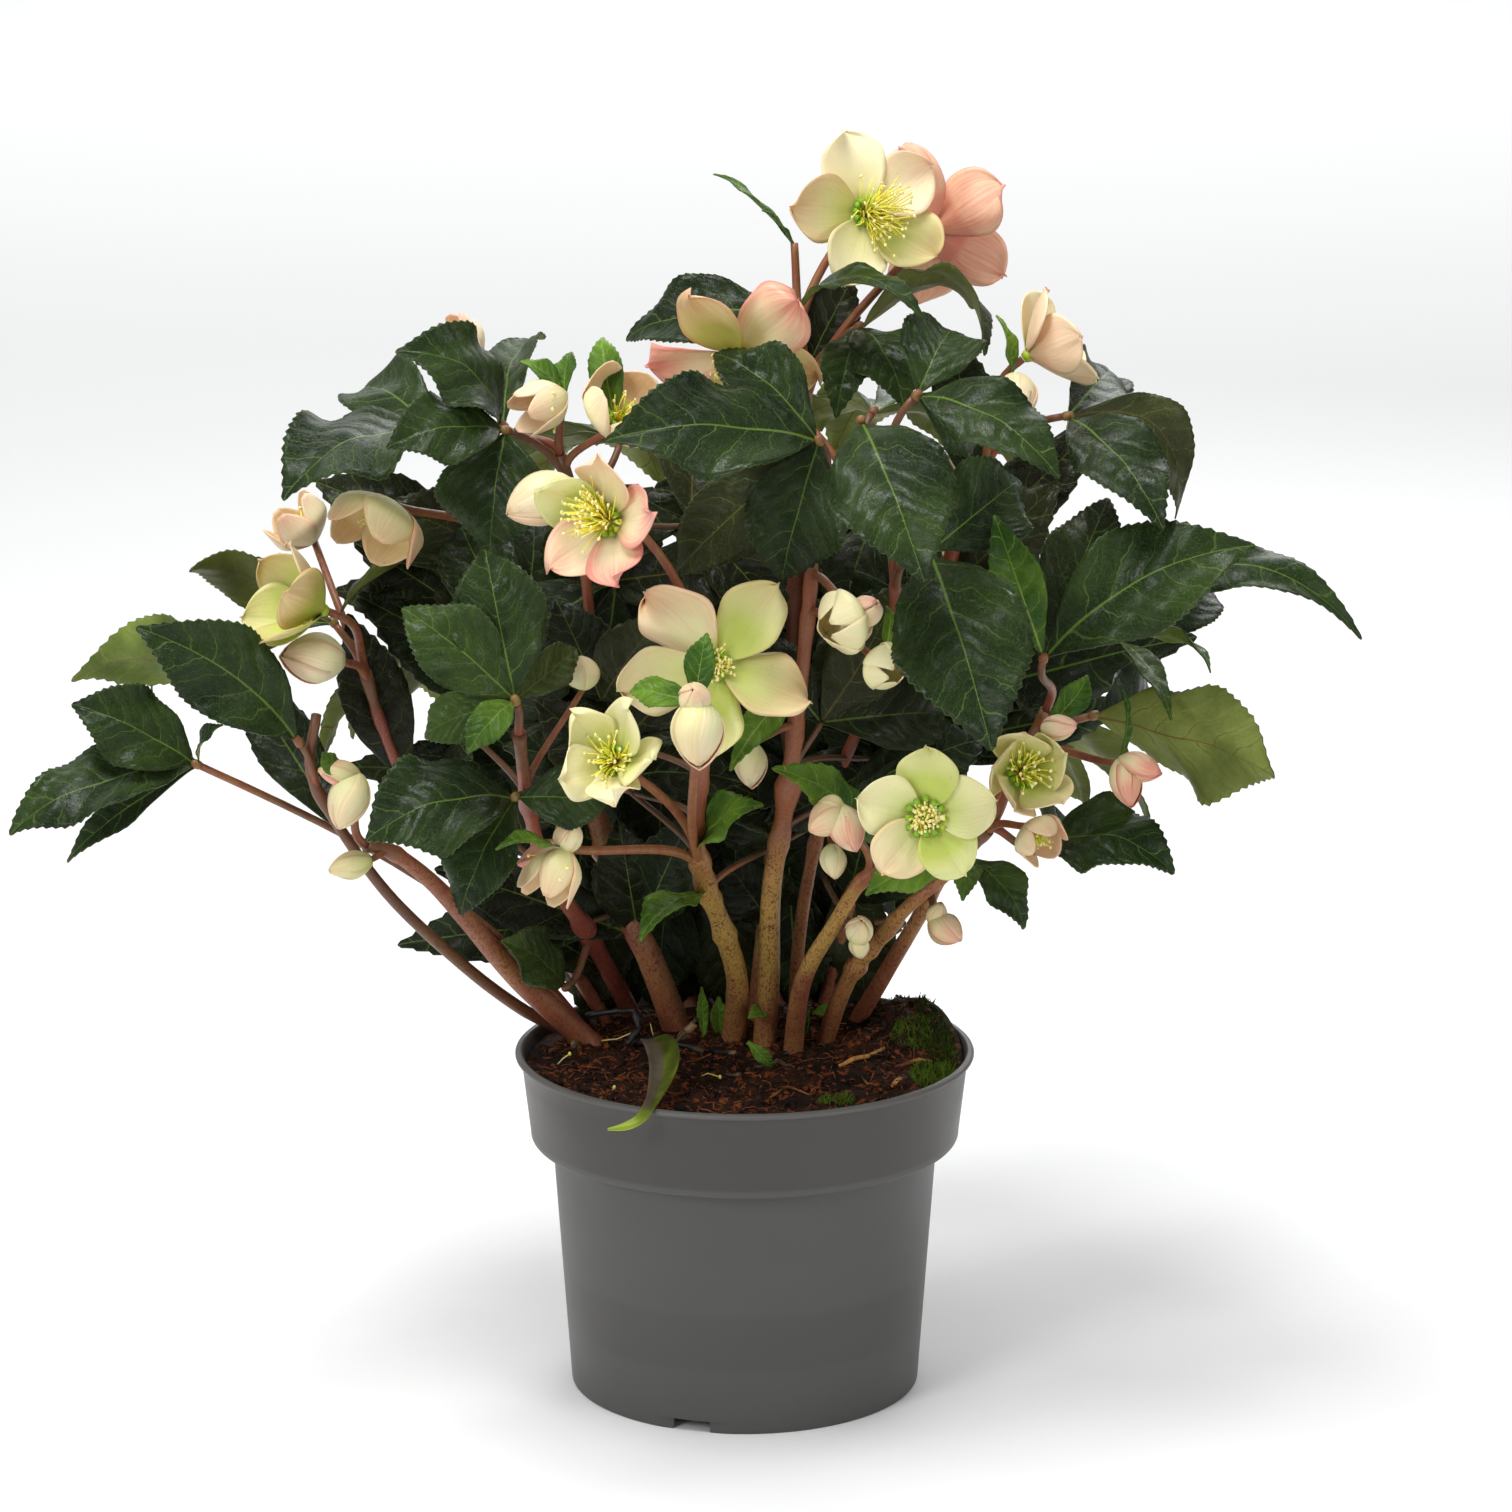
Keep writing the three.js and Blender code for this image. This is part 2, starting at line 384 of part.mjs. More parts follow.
// ---------------------------------------------------------------- flowers
// A sepal: rounded, widest past the middle, curling in at both sides, lapping its neighbour.
function sepal(centre, axis, out, length, footLean, tipLean, width) {
  const sideways = out.clone().cross(axis);
  return blade(2, SEPAL.rows, SEPAL.thickness, (u, share) => {
    const t = 1 - (1 - share) ** 1.4;
    const middle = radians(footLean + (tipLean - footLean) * 0.5 * t);
    const lean = radians(footLean + (tipLean - footLean) * t);
    const inner = out.clone().multiplyScalar(-Math.cos(lean)).addScaledVector(axis, Math.sin(lean));
    const swell = Math.sin(Math.PI * t ** 1.3) ** 0.6;
    const half = Math.max(0.5 * width * length * swell, 1.2);
    const point = along(centre, out, RECEPTACLE.foot + length * t * Math.sin(middle))
      .addScaledVector(axis, length * t * Math.cos(middle))
      .addScaledVector(sideways, u * half)
      .addScaledVector(inner, half * (SEPAL.curl * u * u + SEPAL.lap * u));
    return { point, normal: inner };
  });
}

function ways(axis) {
  const right = vec([1, 0, 0]).addScaledVector(axis, -axis.x).normalize();
  return { right, above: axis.clone().cross(right) };
}

// The five-sided seat of the sepals, a flat side to each sepal.
function receptacle(centre, axis, turn) {
  const { right, above } = ways(axis);
  const height = RECEPTACLE.back + RECEPTACLE.front;
  const seat = new THREE.CylinderGeometry(RECEPTACLE.radius, RECEPTACLE.radius * 0.6, height, 5, 1);
  seat.rotateY(radians(turn + 36 + 90));
  seat.applyMatrix4(new THREE.Matrix4().makeBasis(right, axis, above.clone().negate()));
  const middle = along(centre, axis, (RECEPTACLE.front - RECEPTACLE.back) / 2);
  return solid(seat.translate(middle.x, middle.y, middle.z));
}

function flower(centre, axis, length, footLean, tipLean, turn, width) {
  const { right, above } = ways(axis);
  const pieces = [receptacle(centre, axis, turn)];
  for (let i = 0; i < 5; i += 1) {
    const bearing = radians(turn + 72 * i);
    const out = right.clone().multiplyScalar(Math.cos(bearing))
      .addScaledVector(above, Math.sin(bearing));
    pieces.push(sepal(centre, axis, out, length, footLean, tipLean, width));
  }
  return pieces;
}

// The boss of stamens: a low dome with filaments set on it by the golden angle.
function boss(foot, axis, length) {
  const { right, above } = ways(axis);
  const dome = new THREE.LineCurve3(foot, along(foot, axis, 2));
  const pieces = [rod(dome, 2.2, 1.2, 6, 1)];
  for (let i = 0; i < 5; i += 1) {
    const bearing = i * 2.4;
    const spread = 0.25 + 0.07 * i;
    const way = axis.clone().multiplyScalar(Math.cos(spread))
      .addScaledVector(right, Math.sin(spread) * Math.cos(bearing))
      .addScaledVector(above, Math.sin(spread) * Math.sin(bearing));
    const thread = new THREE.LineCurve3(along(foot, way, 1.6), along(foot, way, length));
    pieces.push(rod(thread, 0.55, 0.4, 3, 1));
  }
  return fuse(pieces);
}

// A half-open flower: a thin bell whose mouth stands up in five pointed lobes.
function bell(foot, heading, length, width) {
  const wall = SEPAL.thickness;
  const profile = [
    [0, 0], [0.3 * width, 0.06 * length], [0.5 * width, 0.42 * length], [0.42 * width, length],
    [0.42 * width - wall, length + 0.4], [0.5 * width - wall, 0.42 * length], [0, 0.14 * length],
  ];
  const geometry = turned(profile, 10);
  const position = geometry.attributes.position;
  for (let i = 0; i < position.count; i += 1) {
    const [x, y, z] = [position.getX(i), position.getY(i), position.getZ(i)];
    const lobe = 0.11 * (1 - Math.cos(5 * Math.atan2(y, x))) * Math.max(0, z / length - 0.5);
    position.setXYZ(i, x * (1 + lobe), y * (1 + lobe), z * (1 + 1.8 * lobe));
  }
  geometry.applyQuaternion(new THREE.Quaternion().setFromUnitVectors(vec([0, 0, 1]), heading));
  const seat = along(foot, heading, -1);
  return solid(geometry.translate(seat.x, seat.y, seat.z));
}

function bud(foot, heading, length, width) {
  const egg = new THREE.SphereGeometry(0.5, 5, 4);
  egg.scale(width, length, width);
  egg.applyQuaternion(new THREE.Quaternion().setFromUnitVectors(vec([0, 1, 0]), heading));
  const middle = along(foot, heading, length / 2 - 1);
  return solid(egg.translate(middle.x, middle.y, middle.z));
}

// ---------------------------------------------------------------- stems
function stemCurve(name) {
  const [, , , [x, y], way] = STEMS.find((row) => row[0] === name);
  const points = [vec([x, y, SOIL.holeEnd]), vec([x, y, SOIL.crown]), ...way.map(vec)];
  return new THREE.CatmullRomCurve3(points, false, 'catmullrom', 0.5);
}

const stemSteps = (curve) => curve.points.length;

const stemRod = (curve, footRadius, headRadius) => (
  rod(curve, footRadius, headRadius, TRUNK_SIDES, stemSteps(curve)));

// The point of a stem's axis at a share of its length, on the straight runs that it is made of.
function stemPoint(curve, share) {
  const steps = stemSteps(curve);
  const run = Math.min(Math.floor(share * steps), steps - 1);
  return curve.getPointAt(run / steps).lerp(curve.getPointAt((run + 1) / steps), share * steps - run);
}

// A stalk leaves its stem along the stem and comes in to its end along the heading.
function stalkCurve(stem, share, end, heading) {
  const curve = stemCurve(stem);
  const start = stemPoint(curve, share);
  const reach = 0.35 * start.distanceTo(end);
  return new THREE.CubicBezierCurve3(
    start, along(start, curve.getTangentAt(share), reach), along(end, heading, -reach), end);
}

function stalk(stem, share, end, heading, radius) {
  const curve = stalkCurve(stem, share, end, heading);
  const steps = curve.v0.distanceTo(end) < STALK.short ? STALK.shortSteps : STALK.steps;
  return rod(curve, radius * 1.15, radius, STALK.sides, steps);
}

// The heading with which a leaf stalk comes in: half along its way, half towards the leaflets.
function leafHeading(stem, share, hub, leaflets) {
  const start = stemPoint(stemCurve(stem), share);
  const middle = leaflets.reduce((sum, [tip]) => sum.add(vec(tip)), vec([0, 0, 0]))
    .divideScalar(leaflets.length);
  const way = hub.clone().sub(start).normalize();
  return way.add(middle.sub(hub).normalize().multiplyScalar(0.5)).normalize();
}

function twigPieces([stem, share, end, radius, items, way]) {
  const foot = vec(end);
  const start = stemPoint(stemCurve(stem), share);
  const heading = (way ? vec(way) : foot.clone().sub(start)).normalize();
  const pieces = [stalk(stem, share, foot, heading, radius)];
  items.forEach(([kind, ...plan], i) => {
    if (kind === 'bud') {
      pieces.push(bud(foot, vec(plan[0]).normalize(), plan[1], plan[2]));
    } else if (kind === 'cup') {
      pieces.push(bell(foot, vec(plan[0]).normalize(), plan[1], plan[2]));
    } else {
      pieces.push(leaflet(foot, vec(plan[0]), plan[1], plan[2], plan[3] ?? OUTWARD, i));
    }
  });
  return pieces;
}

function stem([name, footRadius, headRadius], leafPlans, bloomPlans) {
  const curve = stemCurve(name);
  const pieces = [stemRod(curve, footRadius, headRadius)];
  leafPlans.filter((plan) => plan.stem === name).forEach(({ share, hub, heading }) => {
    const end = along(vec(hub), heading, -LEAF.hubLength / 2 - GAP);
    pieces.push(stalk(name, share, end, heading, 1.5));
  });
  bloomPlans.filter((plan) => plan.stem === name).forEach(({ share, centre, axis }) => {
    const end = along(centre, axis, -RECEPTACLE.back - GAP);
    pieces.push(stalk(name, share, end, axis, 1.6));
  });
  TWIGS.filter((row) => row[0] === name).forEach((row) => pieces.push(...twigPieces(row)));
  STEM_BRACTS.filter((row) => row[0] === name).forEach(([, share, tip, width, arch, face], i) => {
    const grid = face ? LEAF.innerGrid : leafletGrid(width);
    pieces.push(leaflet(stemPoint(curve, share), vec(tip), width, arch, face ?? OUTWARD, i, 0, grid));
  });
  return fuse(pieces);
}

// ---------------------------------------------------------------- pot and soil
// The notch in the pot's foot: a shallow recess with a drain opening in its middle.
function footNotch(bearing) {
  const box = (width, from, to) => {
    const depth = to - from;
    return new THREE.BoxGeometry(depth, width, POT.floorRaise * 2)
      .translate(from + depth / 2, 0, 0).rotateZ(radians(bearing));
  };
  const outside = POT.bodyFoot + 3;
  return solid(box(POT.recessWidth, POT.bodyFoot - POT.recessDepth, outside))
    .add(solid(box(POT.notchWidth, POT.bodyFoot - 8, outside)));
}

function pot() {
  const { height: h, bandHeight, wall, floorRaise: raise, floorWall } = POT;
  const bandFoot = h - bandHeight;
  const profile = [
    [0, 0], [50, 0], [50.8, raise], [69.4, raise], [69.4, 0], [POT.bodyFoot, 0],
    [POT.bodyTop, bandFoot - 3.8], [86.6, bandFoot - 2.6], [POT.bandFoot, bandFoot],
    [POT.bandTop, h - 3.2], [POT.lipRadius, h - 2.4], [POT.lipRadius - 0.6, h - 0.5],
    [POT.lipRadius - 2, h], [POT.bandTop - wall, h - 1.4], [POT.bandFoot - wall, bandFoot + 0.6],
    [POT.bodyTop - wall, bandFoot - 1.8], [POT.bodyFoot - wall + 0.5, raise + floorWall],
    [49.2, raise + floorWall], [48.4, floorWall], [0, floorWall],
  ];
  let whole = solid(turned(profile, POT.sides));
  for (let i = 0; i < POT.notches; i += 1) {
    whole = whole.subtract(footNotch(POT.firstNotch + (360 / POT.notches) * i));
  }
  return whole;
}

// The soil's surface: a low mound round the crown, a mossy rise at the back right, clods.
function soilHeight(x, y) {
  const radius = Math.hypot(x, y);
  const edge = Math.max(0, 1 - (radius / SOIL.edge) ** 6);
  const crown = 2.5 * Math.exp(-((x / 60) ** 2) - ((y - 30) / 45) ** 2);
  const { rise } = SOIL;
  const heap = rise.height
    * Math.exp(-(((x - rise.x) / rise.spreadX) ** 2) - ((y - rise.y) / rise.spreadY) ** 2);
  const clods = 0.8 * Math.sin(0.22 * x + 1) * Math.cos(0.19 * y) + 0.5 * Math.sin(0.4 * x - 0.3 * y);
  return SOIL.level + heap + edge * (crown + clods);
}

function soil() {
  const bandFoot = POT.height - POT.bandHeight;
  const floorTop = POT.floorRaise + POT.floorWall + GAP;
  const slack = POT.wall + 2 * GAP;
  const profile = [
    [0, POT.floorWall + GAP], [48.1, POT.floorWall + GAP], [48.6, floorTop],
    [POT.bodyFoot - slack, floorTop], [POT.bodyTop - slack - 0.2, bandFoot - 0.6],
    [POT.bandFoot - slack - 0.2, bandFoot + 1.4], [SOIL.edge, SOIL.level],
    ...SOIL.rings.map((radius) => [radius, SOIL.level]),
  ];
  const geometry = turned(profile, POT.sides);
  const position = geometry.attributes.position;
  for (let i = 0; i < position.count; i += 1) {
    const [x, y, z] = [position.getX(i), position.getY(i), position.getZ(i)];
    if (z > SOIL.level - 0.01) position.setZ(i, soilHeight(x, y));
  }
  let whole = solid(geometry);
  STEMS.forEach(([name, footRadius, headRadius]) => {
    const hole = stemRod(stemCurve(name), footRadius + GAP, headRadius + GAP);
    whole = whole.subtract(hole.translate([0, 0, -GAP]));
  });
  return whole;
}

// ---------------------------------------------------------------- the whole plant
const leafPlans = [...LEAVES, ...BACK_LEAVES.map(backLeaf)].map((row) => {
  const [name, stemName, share, hub, leaflets] = row;
  const heading = leafHeading(stemName, share, vec(hub), leaflets);
  return { name, stem: stemName, share, hub, leaflets, heading };
});
const bloomPlans = BLOOMS.map(([name, stemName, share, centre, way, ...form]) => (
  { name, stem: stemName, share, centre: vec(centre), axis: vec(way).normalize(), form }));

const plant = new THREE.Group();
plant.add(mesh('pot', pot(), COLOUR.pot, 0.5));
plant.add(mesh('soil', soil(), COLOUR.soil, 0.95));
STEMS.forEach((row) => plant.add(mesh(row[0], stem(row, leafPlans, bloomPlans), COLOUR.stem, 0.6)));
leafPlans.forEach((plan) => plant.add(mesh(plan.name, leaf(plan), COLOUR.leaf, 0.4)));
bloomPlans.forEach(({ name, centre, axis, form }, i) => {
  const [length, footLean, tipLean, turn, ownBoss, width = SEPAL.width] = form;
  const pieces = flower(centre, axis, length, footLean, tipLean, turn, width);
  if (ownBoss) {
    const stamens = boss(along(centre, axis, RECEPTACLE.front + GAP), axis, 0.34 * length);
    plant.add(mesh(name.replace('bloom', 'boss'), stamens, COLOUR.boss, 0.6));
  }
  plant.add(mesh(name, fuse(pieces), COLOUR.blooms[i], 0.55));
});

export default plant;
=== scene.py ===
# A hellebore in flower in a round plastic nursery pot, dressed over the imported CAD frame.
# Metres, +Z up. The origin is the middle of the pot's underside, and -Y is the front.
import math
import random

import bmesh
import bpy
from mathutils import Matrix, Vector
from mathutils.noise import fractal, turbulence


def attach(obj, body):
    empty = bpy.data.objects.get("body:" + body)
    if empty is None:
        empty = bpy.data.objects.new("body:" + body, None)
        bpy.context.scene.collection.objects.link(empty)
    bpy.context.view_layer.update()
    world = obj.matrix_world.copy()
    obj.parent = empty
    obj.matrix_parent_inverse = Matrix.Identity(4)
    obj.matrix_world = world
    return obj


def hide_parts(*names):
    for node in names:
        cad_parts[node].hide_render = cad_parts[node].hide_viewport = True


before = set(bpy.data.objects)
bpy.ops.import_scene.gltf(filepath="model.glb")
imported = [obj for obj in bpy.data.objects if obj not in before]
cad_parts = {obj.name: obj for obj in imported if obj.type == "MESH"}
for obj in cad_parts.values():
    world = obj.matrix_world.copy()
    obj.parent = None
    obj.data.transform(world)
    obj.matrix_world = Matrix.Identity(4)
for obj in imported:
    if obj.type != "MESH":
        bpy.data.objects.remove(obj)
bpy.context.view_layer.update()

MM = 0.001

# ---- Camera and studio -------------------------------------------------------------------
# A long lens a little above the pot, two metres in front of it, looks down on the plant.
# The stage is a plain pale floor under a white sky, with one large soft light overhead.
LENS_MM = 120
SENSOR_MM = 36
LOOK_DOWN = math.radians(13.47)
CAMERA_PLACE = Vector((4.7, -2002, 746)) * MM


def placed(name, data):
    """A new object in the scene."""
    made = bpy.data.objects.new(name, data)
    bpy.context.collection.objects.link(made)
    return made


camera = placed("camera", bpy.data.cameras.new("camera"))
camera.data.lens = LENS_MM
camera.data.sensor_width = SENSOR_MM
camera.location = CAMERA_PLACE
camera.rotation_euler = (math.pi / 2 - LOOK_DOWN, 0, 0)
bpy.context.scene.camera = camera
bpy.context.scene.view_settings.view_transform = "Standard"


def soft_light(name, place, aim, size, power):
    """A square area light at a place, turned to look at a point."""
    light = placed(name, bpy.data.lights.new(name, "AREA"))
    light.data.size = size
    light.data.energy = power
    light.location = place
    light.rotation_euler = (Vector(aim) - Vector(place)).to_track_quat("-Z", "Y").to_euler()


soft_light("overhead", (-0.35, -0.35, 1.9), (0, 0, 0.3), 0.8, 27)
soft_light("front_left", (-1.5, -1.9, 1.3), (0, 0, 0.28), 0.8, 20)
soft_light("front_right", (1.8, -1.5, 1.0), (0, 0, 0.28), 0.8, 9)
soft_light("back", (0.5, 1.7, 1.4), (0, 0, 0.3), 1.2, 9)
soft_light("backdrop", (0, 6, 3.5), (0, 6, 0), 7, 220)

sky = bpy.data.worlds.new("sky")
sky.use_nodes = True
glow = sky.node_tree.nodes["Background"].inputs
glow["Color"].default_value = (0.97, 0.985, 1, 1)
glow["Strength"].default_value = 0.34
bpy.context.scene.world = sky


def feed(tree, socket, value):
    """Links a socket to another one, or sets it to a value."""
    if isinstance(value, bpy.types.NodeSocket):
        tree.links.new(value, socket)
    else:
        socket.default_value = value


def node(tree, kind, inputs=None, **settings):
    """A new shader node with its settings, and its inputs by name or number."""
    made = tree.nodes.new(kind)
    for name, value in settings.items():
        setattr(made, name, value)
    for name, value in (inputs or {}).items():
        feed(tree, made.inputs[name], value)
    return made


def material(name, **values):
    """A material with its tree and its Principled shader, plain values set on the shader."""
    made = bpy.data.materials.new(name)
    made.use_nodes = True
    shader = made.node_tree.nodes["Principled BSDF"]
    for key, value in values.items():
        name = key.replace("_", " ").title().replace("Ior", "IOR")
        shader.inputs[name].default_value = value
    return made, made.node_tree, shader


def calc(tree, operation, *values):
    """One step of arithmetic."""
    return node(tree, "ShaderNodeMath", dict(enumerate(values)), operation=operation).outputs[0]


def times(tree, first, second):
    """One value times another."""
    return calc(tree, "MULTIPLY", first, second)


def between(tree, value, low, high, start=0.0, end=1.0):
    """Goes smoothly from start to end while a value goes from low to high."""
    return node(tree, "ShaderNodeMapRange", {0: value, 1: low, 2: high, 3: start, 4: end},
                interpolation_type="SMOOTHSTEP").outputs[0]


def mix(tree, share, first, second):
    """Two colours mixed by a share."""
    return node(tree, "ShaderNodeMix", {0: share, 6: first, 7: second}, data_type="RGBA").outputs[2]


def noise(tree, place, scale, detail=3.0, roughness=0.55):
    """Cloudy noise from 0 to 1."""
    inputs = {"Vector": place, "Scale": scale, "Detail": detail, "Roughness": roughness}
    return node(tree, "ShaderNodeTexNoise", inputs).outputs["Fac"]


def object_place(tree, stretch=(1, 1, 1)):
    """Where a point lies on the object, stretched along its axes."""
    place = node(tree, "ShaderNodeTexCoord").outputs["Object"]
    return node(tree, "ShaderNodeMapping", {"Vector": place, "Scale": stretch}).outputs[0]


def split(tree, value):
    """The three parts of a place or a colour."""
    return node(tree, "ShaderNodeSeparateXYZ", {0: value}).outputs


def mark(tree, name):
    """A value that the points of a mesh carry by name."""
    return node(tree, "ShaderNodeAttribute", attribute_name=name).outputs["Fac"]


def coat(tree, shader, colour, relief, strength, distance, rough=None):
    """Gives a material its colour, its fine relief and, where it varies, its roughness."""
    raised = node(tree, "ShaderNodeBump", {"Height": relief, "Strength": strength, "Distance": distance})
    feed(tree, shader.inputs["Base Color"], colour)
    feed(tree, shader.inputs["Normal"], raised.outputs[0])
    if rough is not None:
        feed(tree, shader.inputs["Roughness"], rough)


def meshed(name, shape, *materials):
    """A new object of a finished bmesh, with its materials."""
    made = placed(name, bpy.data.meshes.new(name))
    shape.to_mesh(made.data)
    shape.free()
    for one in materials:
        made.data.materials.append(one)
    return made


FLOOR_REACH = 20
shape = bmesh.new()
bmesh.ops.create_grid(shape, x_segments=2, y_segments=2, size=FLOOR_REACH)
pale, tree, shader = material("pale_floor", roughness=0.9, specular_ior_level=0.1)
shader.inputs["Base Color"].default_value = (0.93, 0.93, 0.93, 1)
floor = meshed("floor", shape, pale)

# ---- Pot -----------------------------------------------------------------------------------
# An injection-moulded container of dark grey polypropylene: a thin lip and a deep collar
# band over a tapered body, standing on a foot ring. Three drain notches are moulded in it.
POT_HEIGHT = 142.8
POT_LIP = 95.0
BAND_TOP = 92.4
BAND_FOOT = 88.8
BAND_LOW = POT_HEIGHT - 35.0
BODY_TOP = 79.8
BODY_FOOT = 72.6
POT_WALL = 1.3
FLOOR_RAISE = 5.0
FLOOR_WALL = 1.6
POT_STEPS = 144
NOTCH_WIDTH = 15.5
NOTCH_DEPTH = 5.5
RECESS_WIDTH = 37.0
RECESS_DEPTH = 1.4
NOTCHES = 3
FIRST_NOTCH = -107.5
CREASE = math.radians(38)


def piece(name, shape, materials, slot, *nodes, smooth=True):
    """Makes an object of a finished bmesh, riding on the pot, in place of its CAD nodes."""
    made = meshed(name, shape, *materials)
    made.data.polygons.foreach_set("use_smooth", [smooth] * len(made.data.polygons))
    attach(made, "root")
    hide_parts(*nodes)
    return made


def lathe(profile, steps):
    """A profile of (radius, height) in millimetres, turned round the Z axis."""
    shape = bmesh.new()
    ring = [shape.verts.new((radius * MM, 0, height * MM)) for radius, height in profile]
    edges = [shape.edges.new(pair) for pair in zip(ring, ring[1:])]
    bmesh.ops.spin(shape, geom=ring + edges, cent=(0, 0, 0), axis=(0, 0, 1),
                   angle=math.tau, steps=steps, use_merge=True, use_duplicate=False)
    bmesh.ops.remove_doubles(shape, verts=shape.verts, dist=1e-6)
    bmesh.ops.recalc_face_normals(shape, faces=shape.faces)
    return shape


def arc(centre, radius, start, end, steps):
    """Points of a round corner in a profile, from one bearing to another in degrees."""
    bearings = [math.radians(start + (end - start) * i / steps) for i in range(steps + 1)]
    return [(centre[0] + radius * math.cos(b), centre[1] + radius * math.sin(b)) for b in bearings]


def along_line(first, last, count):
    """Points spread evenly along a straight stretch of a profile, without its last point."""
    return [(first[0] + (last[0] - first[0]) * i / count, first[1] + (last[1] - first[1]) * i / count)
            for i in range(count)]


pot_profile = [
    (0, 0), (49.4, 0), *arc((50.0, 0.6), 0.6, -90, -10, 3), (50.8, FLOOR_RAISE),
    (68.8, FLOOR_RAISE), (69.4, 4.4), *arc((70.0, 0.6), 0.6, 180, 270, 3),
    *arc((BODY_FOOT - 0.8, 0.8), 0.8, -90, 0, 4),
    *along_line((BODY_FOOT + 0.1, 2.2), (BODY_TOP, BAND_LOW - 3.8), 8),
    (BODY_TOP, BAND_LOW - 3.8), (BODY_TOP + 0.6, BAND_LOW - 3.2), (85.6, BAND_LOW - 2.9),
    *arc((BAND_FOOT - 2.4, BAND_LOW - 0.2), 2.4, -80, 0, 5),
    *along_line((BAND_FOOT + 0.05, BAND_LOW + 1), (BAND_TOP, POT_HEIGHT - 3.6), 5),
    (BAND_TOP, POT_HEIGHT - 3.6), (BAND_TOP + 0.5, POT_HEIGHT - 2.8),
    *arc((POT_LIP - 1.1, POT_HEIGHT - 1.5), 1.1, -70, 60, 5),
    *arc((POT_LIP - 2.2, POT_HEIGHT - 1.0), 1.0, 70, 160, 4),
    (BAND_TOP - POT_WALL, POT_HEIGHT - 2.2), (BAND_FOOT - POT_WALL, BAND_LOW + 0.6),
    (BODY_TOP - POT_WALL, BAND_LOW - 1.8), (BODY_FOOT - POT_WALL + 0.5, FLOOR_RAISE + FLOOR_WALL),
    (49.2, FLOOR_RAISE + FLOOR_WALL), (48.4, FLOOR_WALL), (0, FLOOR_WALL),
]


def notch_cutter(width, depth):
    """Blocks that cut a notch's width and depth out of the foot, one for each notch."""
    shape = bmesh.new()
    reach = 6.0
    for i in range(NOTCHES):
        block = bmesh.ops.create_cube(shape, size=1)["verts"]
        bmesh.ops.scale(shape, verts=block, vec=(reach * MM, width * MM, 2 * FLOOR_RAISE * MM))
        centre = (BODY_FOOT - depth + reach / 2) * MM
        bmesh.ops.translate(shape, verts=block, vec=(centre, 0, 0))
        turn = Matrix.Rotation(math.radians(FIRST_NOTCH + 360 / NOTCHES * i), 3, "Z")
        bmesh.ops.rotate(shape, verts=block, cent=(0, 0, 0), matrix=turn)
    return meshed("cutter", shape)


def cut(target, cutter):
    """Takes a cutter out of a piece for good, and clears the cutter away."""
    step = target.modifiers.new("cut", "BOOLEAN")
    step.operation = "DIFFERENCE"
    step.object = cutter
    step.solver = "EXACT"
    bpy.context.view_layer.update()
    view = bpy.context.evaluated_depsgraph_get()
    result = bpy.data.meshes.new_from_object(target.evaluated_get(view))
    target.modifiers.clear()
    target.data = result
    bpy.data.objects.remove(cutter)


pot_plastic, tree, shader = material("pot_plastic", coat_weight=0.05, coat_roughness=0.35)
place = object_place(tree)
height = split(tree, place)[2]
clouds = noise(tree, place, 14)
flow = noise(tree, object_place(tree, (6, 6, 60)), 1.0, detail=4)
specks = noise(tree, place, 900, detail=2)
scuff = noise(tree, object_place(tree, (120, 120, 900)), 1.0, detail=5, roughness=0.7)
colour = mix(tree, clouds, (0.056, 0.056, 0.053, 1), (0.070, 0.070, 0.066, 1))
colour = mix(tree, between(tree, flow, 0.35, 0.75, 0, 0.5), colour, (0.060, 0.058, 0.055, 1))
# A darker belt round the body, a darker collar, scuffs, a painted highlight on the top of the lip and
# red dust under it.
shadow = times(tree, between(tree, height, 0.024, 0.030), between(tree, height, 0.054, 0.049))
colour = mix(tree, times(tree, shadow, 0.35), colour, (0.044, 0.040, 0.036, 1))
collar = between(tree, height, BAND_LOW * MM, (BAND_LOW + 2) * MM, 0, 0.75)
colour = mix(tree, collar, colour, (0.037, 0.032, 0.028, 1))
colour = mix(tree, between(tree, scuff, 0.66, 0.78, 0, 0.22), colour, (0.20, 0.20, 0.19, 1))
# The top of the lip is painted pale: a painted highlight where the light from above falls on it.
lip_highlight = between(tree, height, 0.1398, 0.1424)
colour = mix(tree, times(tree, lip_highlight, 0.45), colour, (0.19, 0.19, 0.185, 1))
dust = times(tree, between(tree, specks, 0.64, 0.72), between(tree, height, 0.09, 0.14))
colour = mix(tree, times(tree, dust, 0.35), colour, (0.10, 0.055, 0.035, 1))
coat(tree, shader, colour, calc(tree, "ADD", specks, scuff), 0.25, 0.00008,
     between(tree, clouds, 0.3, 0.7, 0.40, 0.52))

pot = piece("pot_shell", lathe(pot_profile, POT_STEPS), [pot_plastic], "pot_plastic", "pot")
cut(pot, notch_cutter(RECESS_WIDTH, RECESS_DEPTH))
cut(pot, notch_cutter(NOTCH_WIDTH, NOTCH_DEPTH))
crisp = pot.modifiers.new("crisp", "EDGE_SPLIT")
crisp.split_angle = CREASE

# ---- Soil ----------------------------------------------------------------------------------
# Potting compost of dark peat fills the pot to just under its lip. Its top is a low mound
# round the crown with a mossy rise at the back right, loose crumbs and coarse fibres.
SOIL_EDGE = 90.4
SOIL_LEVEL = 137.0
SOIL_SLACK = POT_WALL + 0.6
SOIL_RINGS = 58
SOIL_STEPS = 180
CRUMBS = 1500
CRUMB_SIZES = (0.5, 0.6, 0.8, 1.0, 1.3, 1.9)
CRUMB_REACH = 87
FIBRES = 300
FIBRE_REACH = 85
SOIL_LIMIT = 88


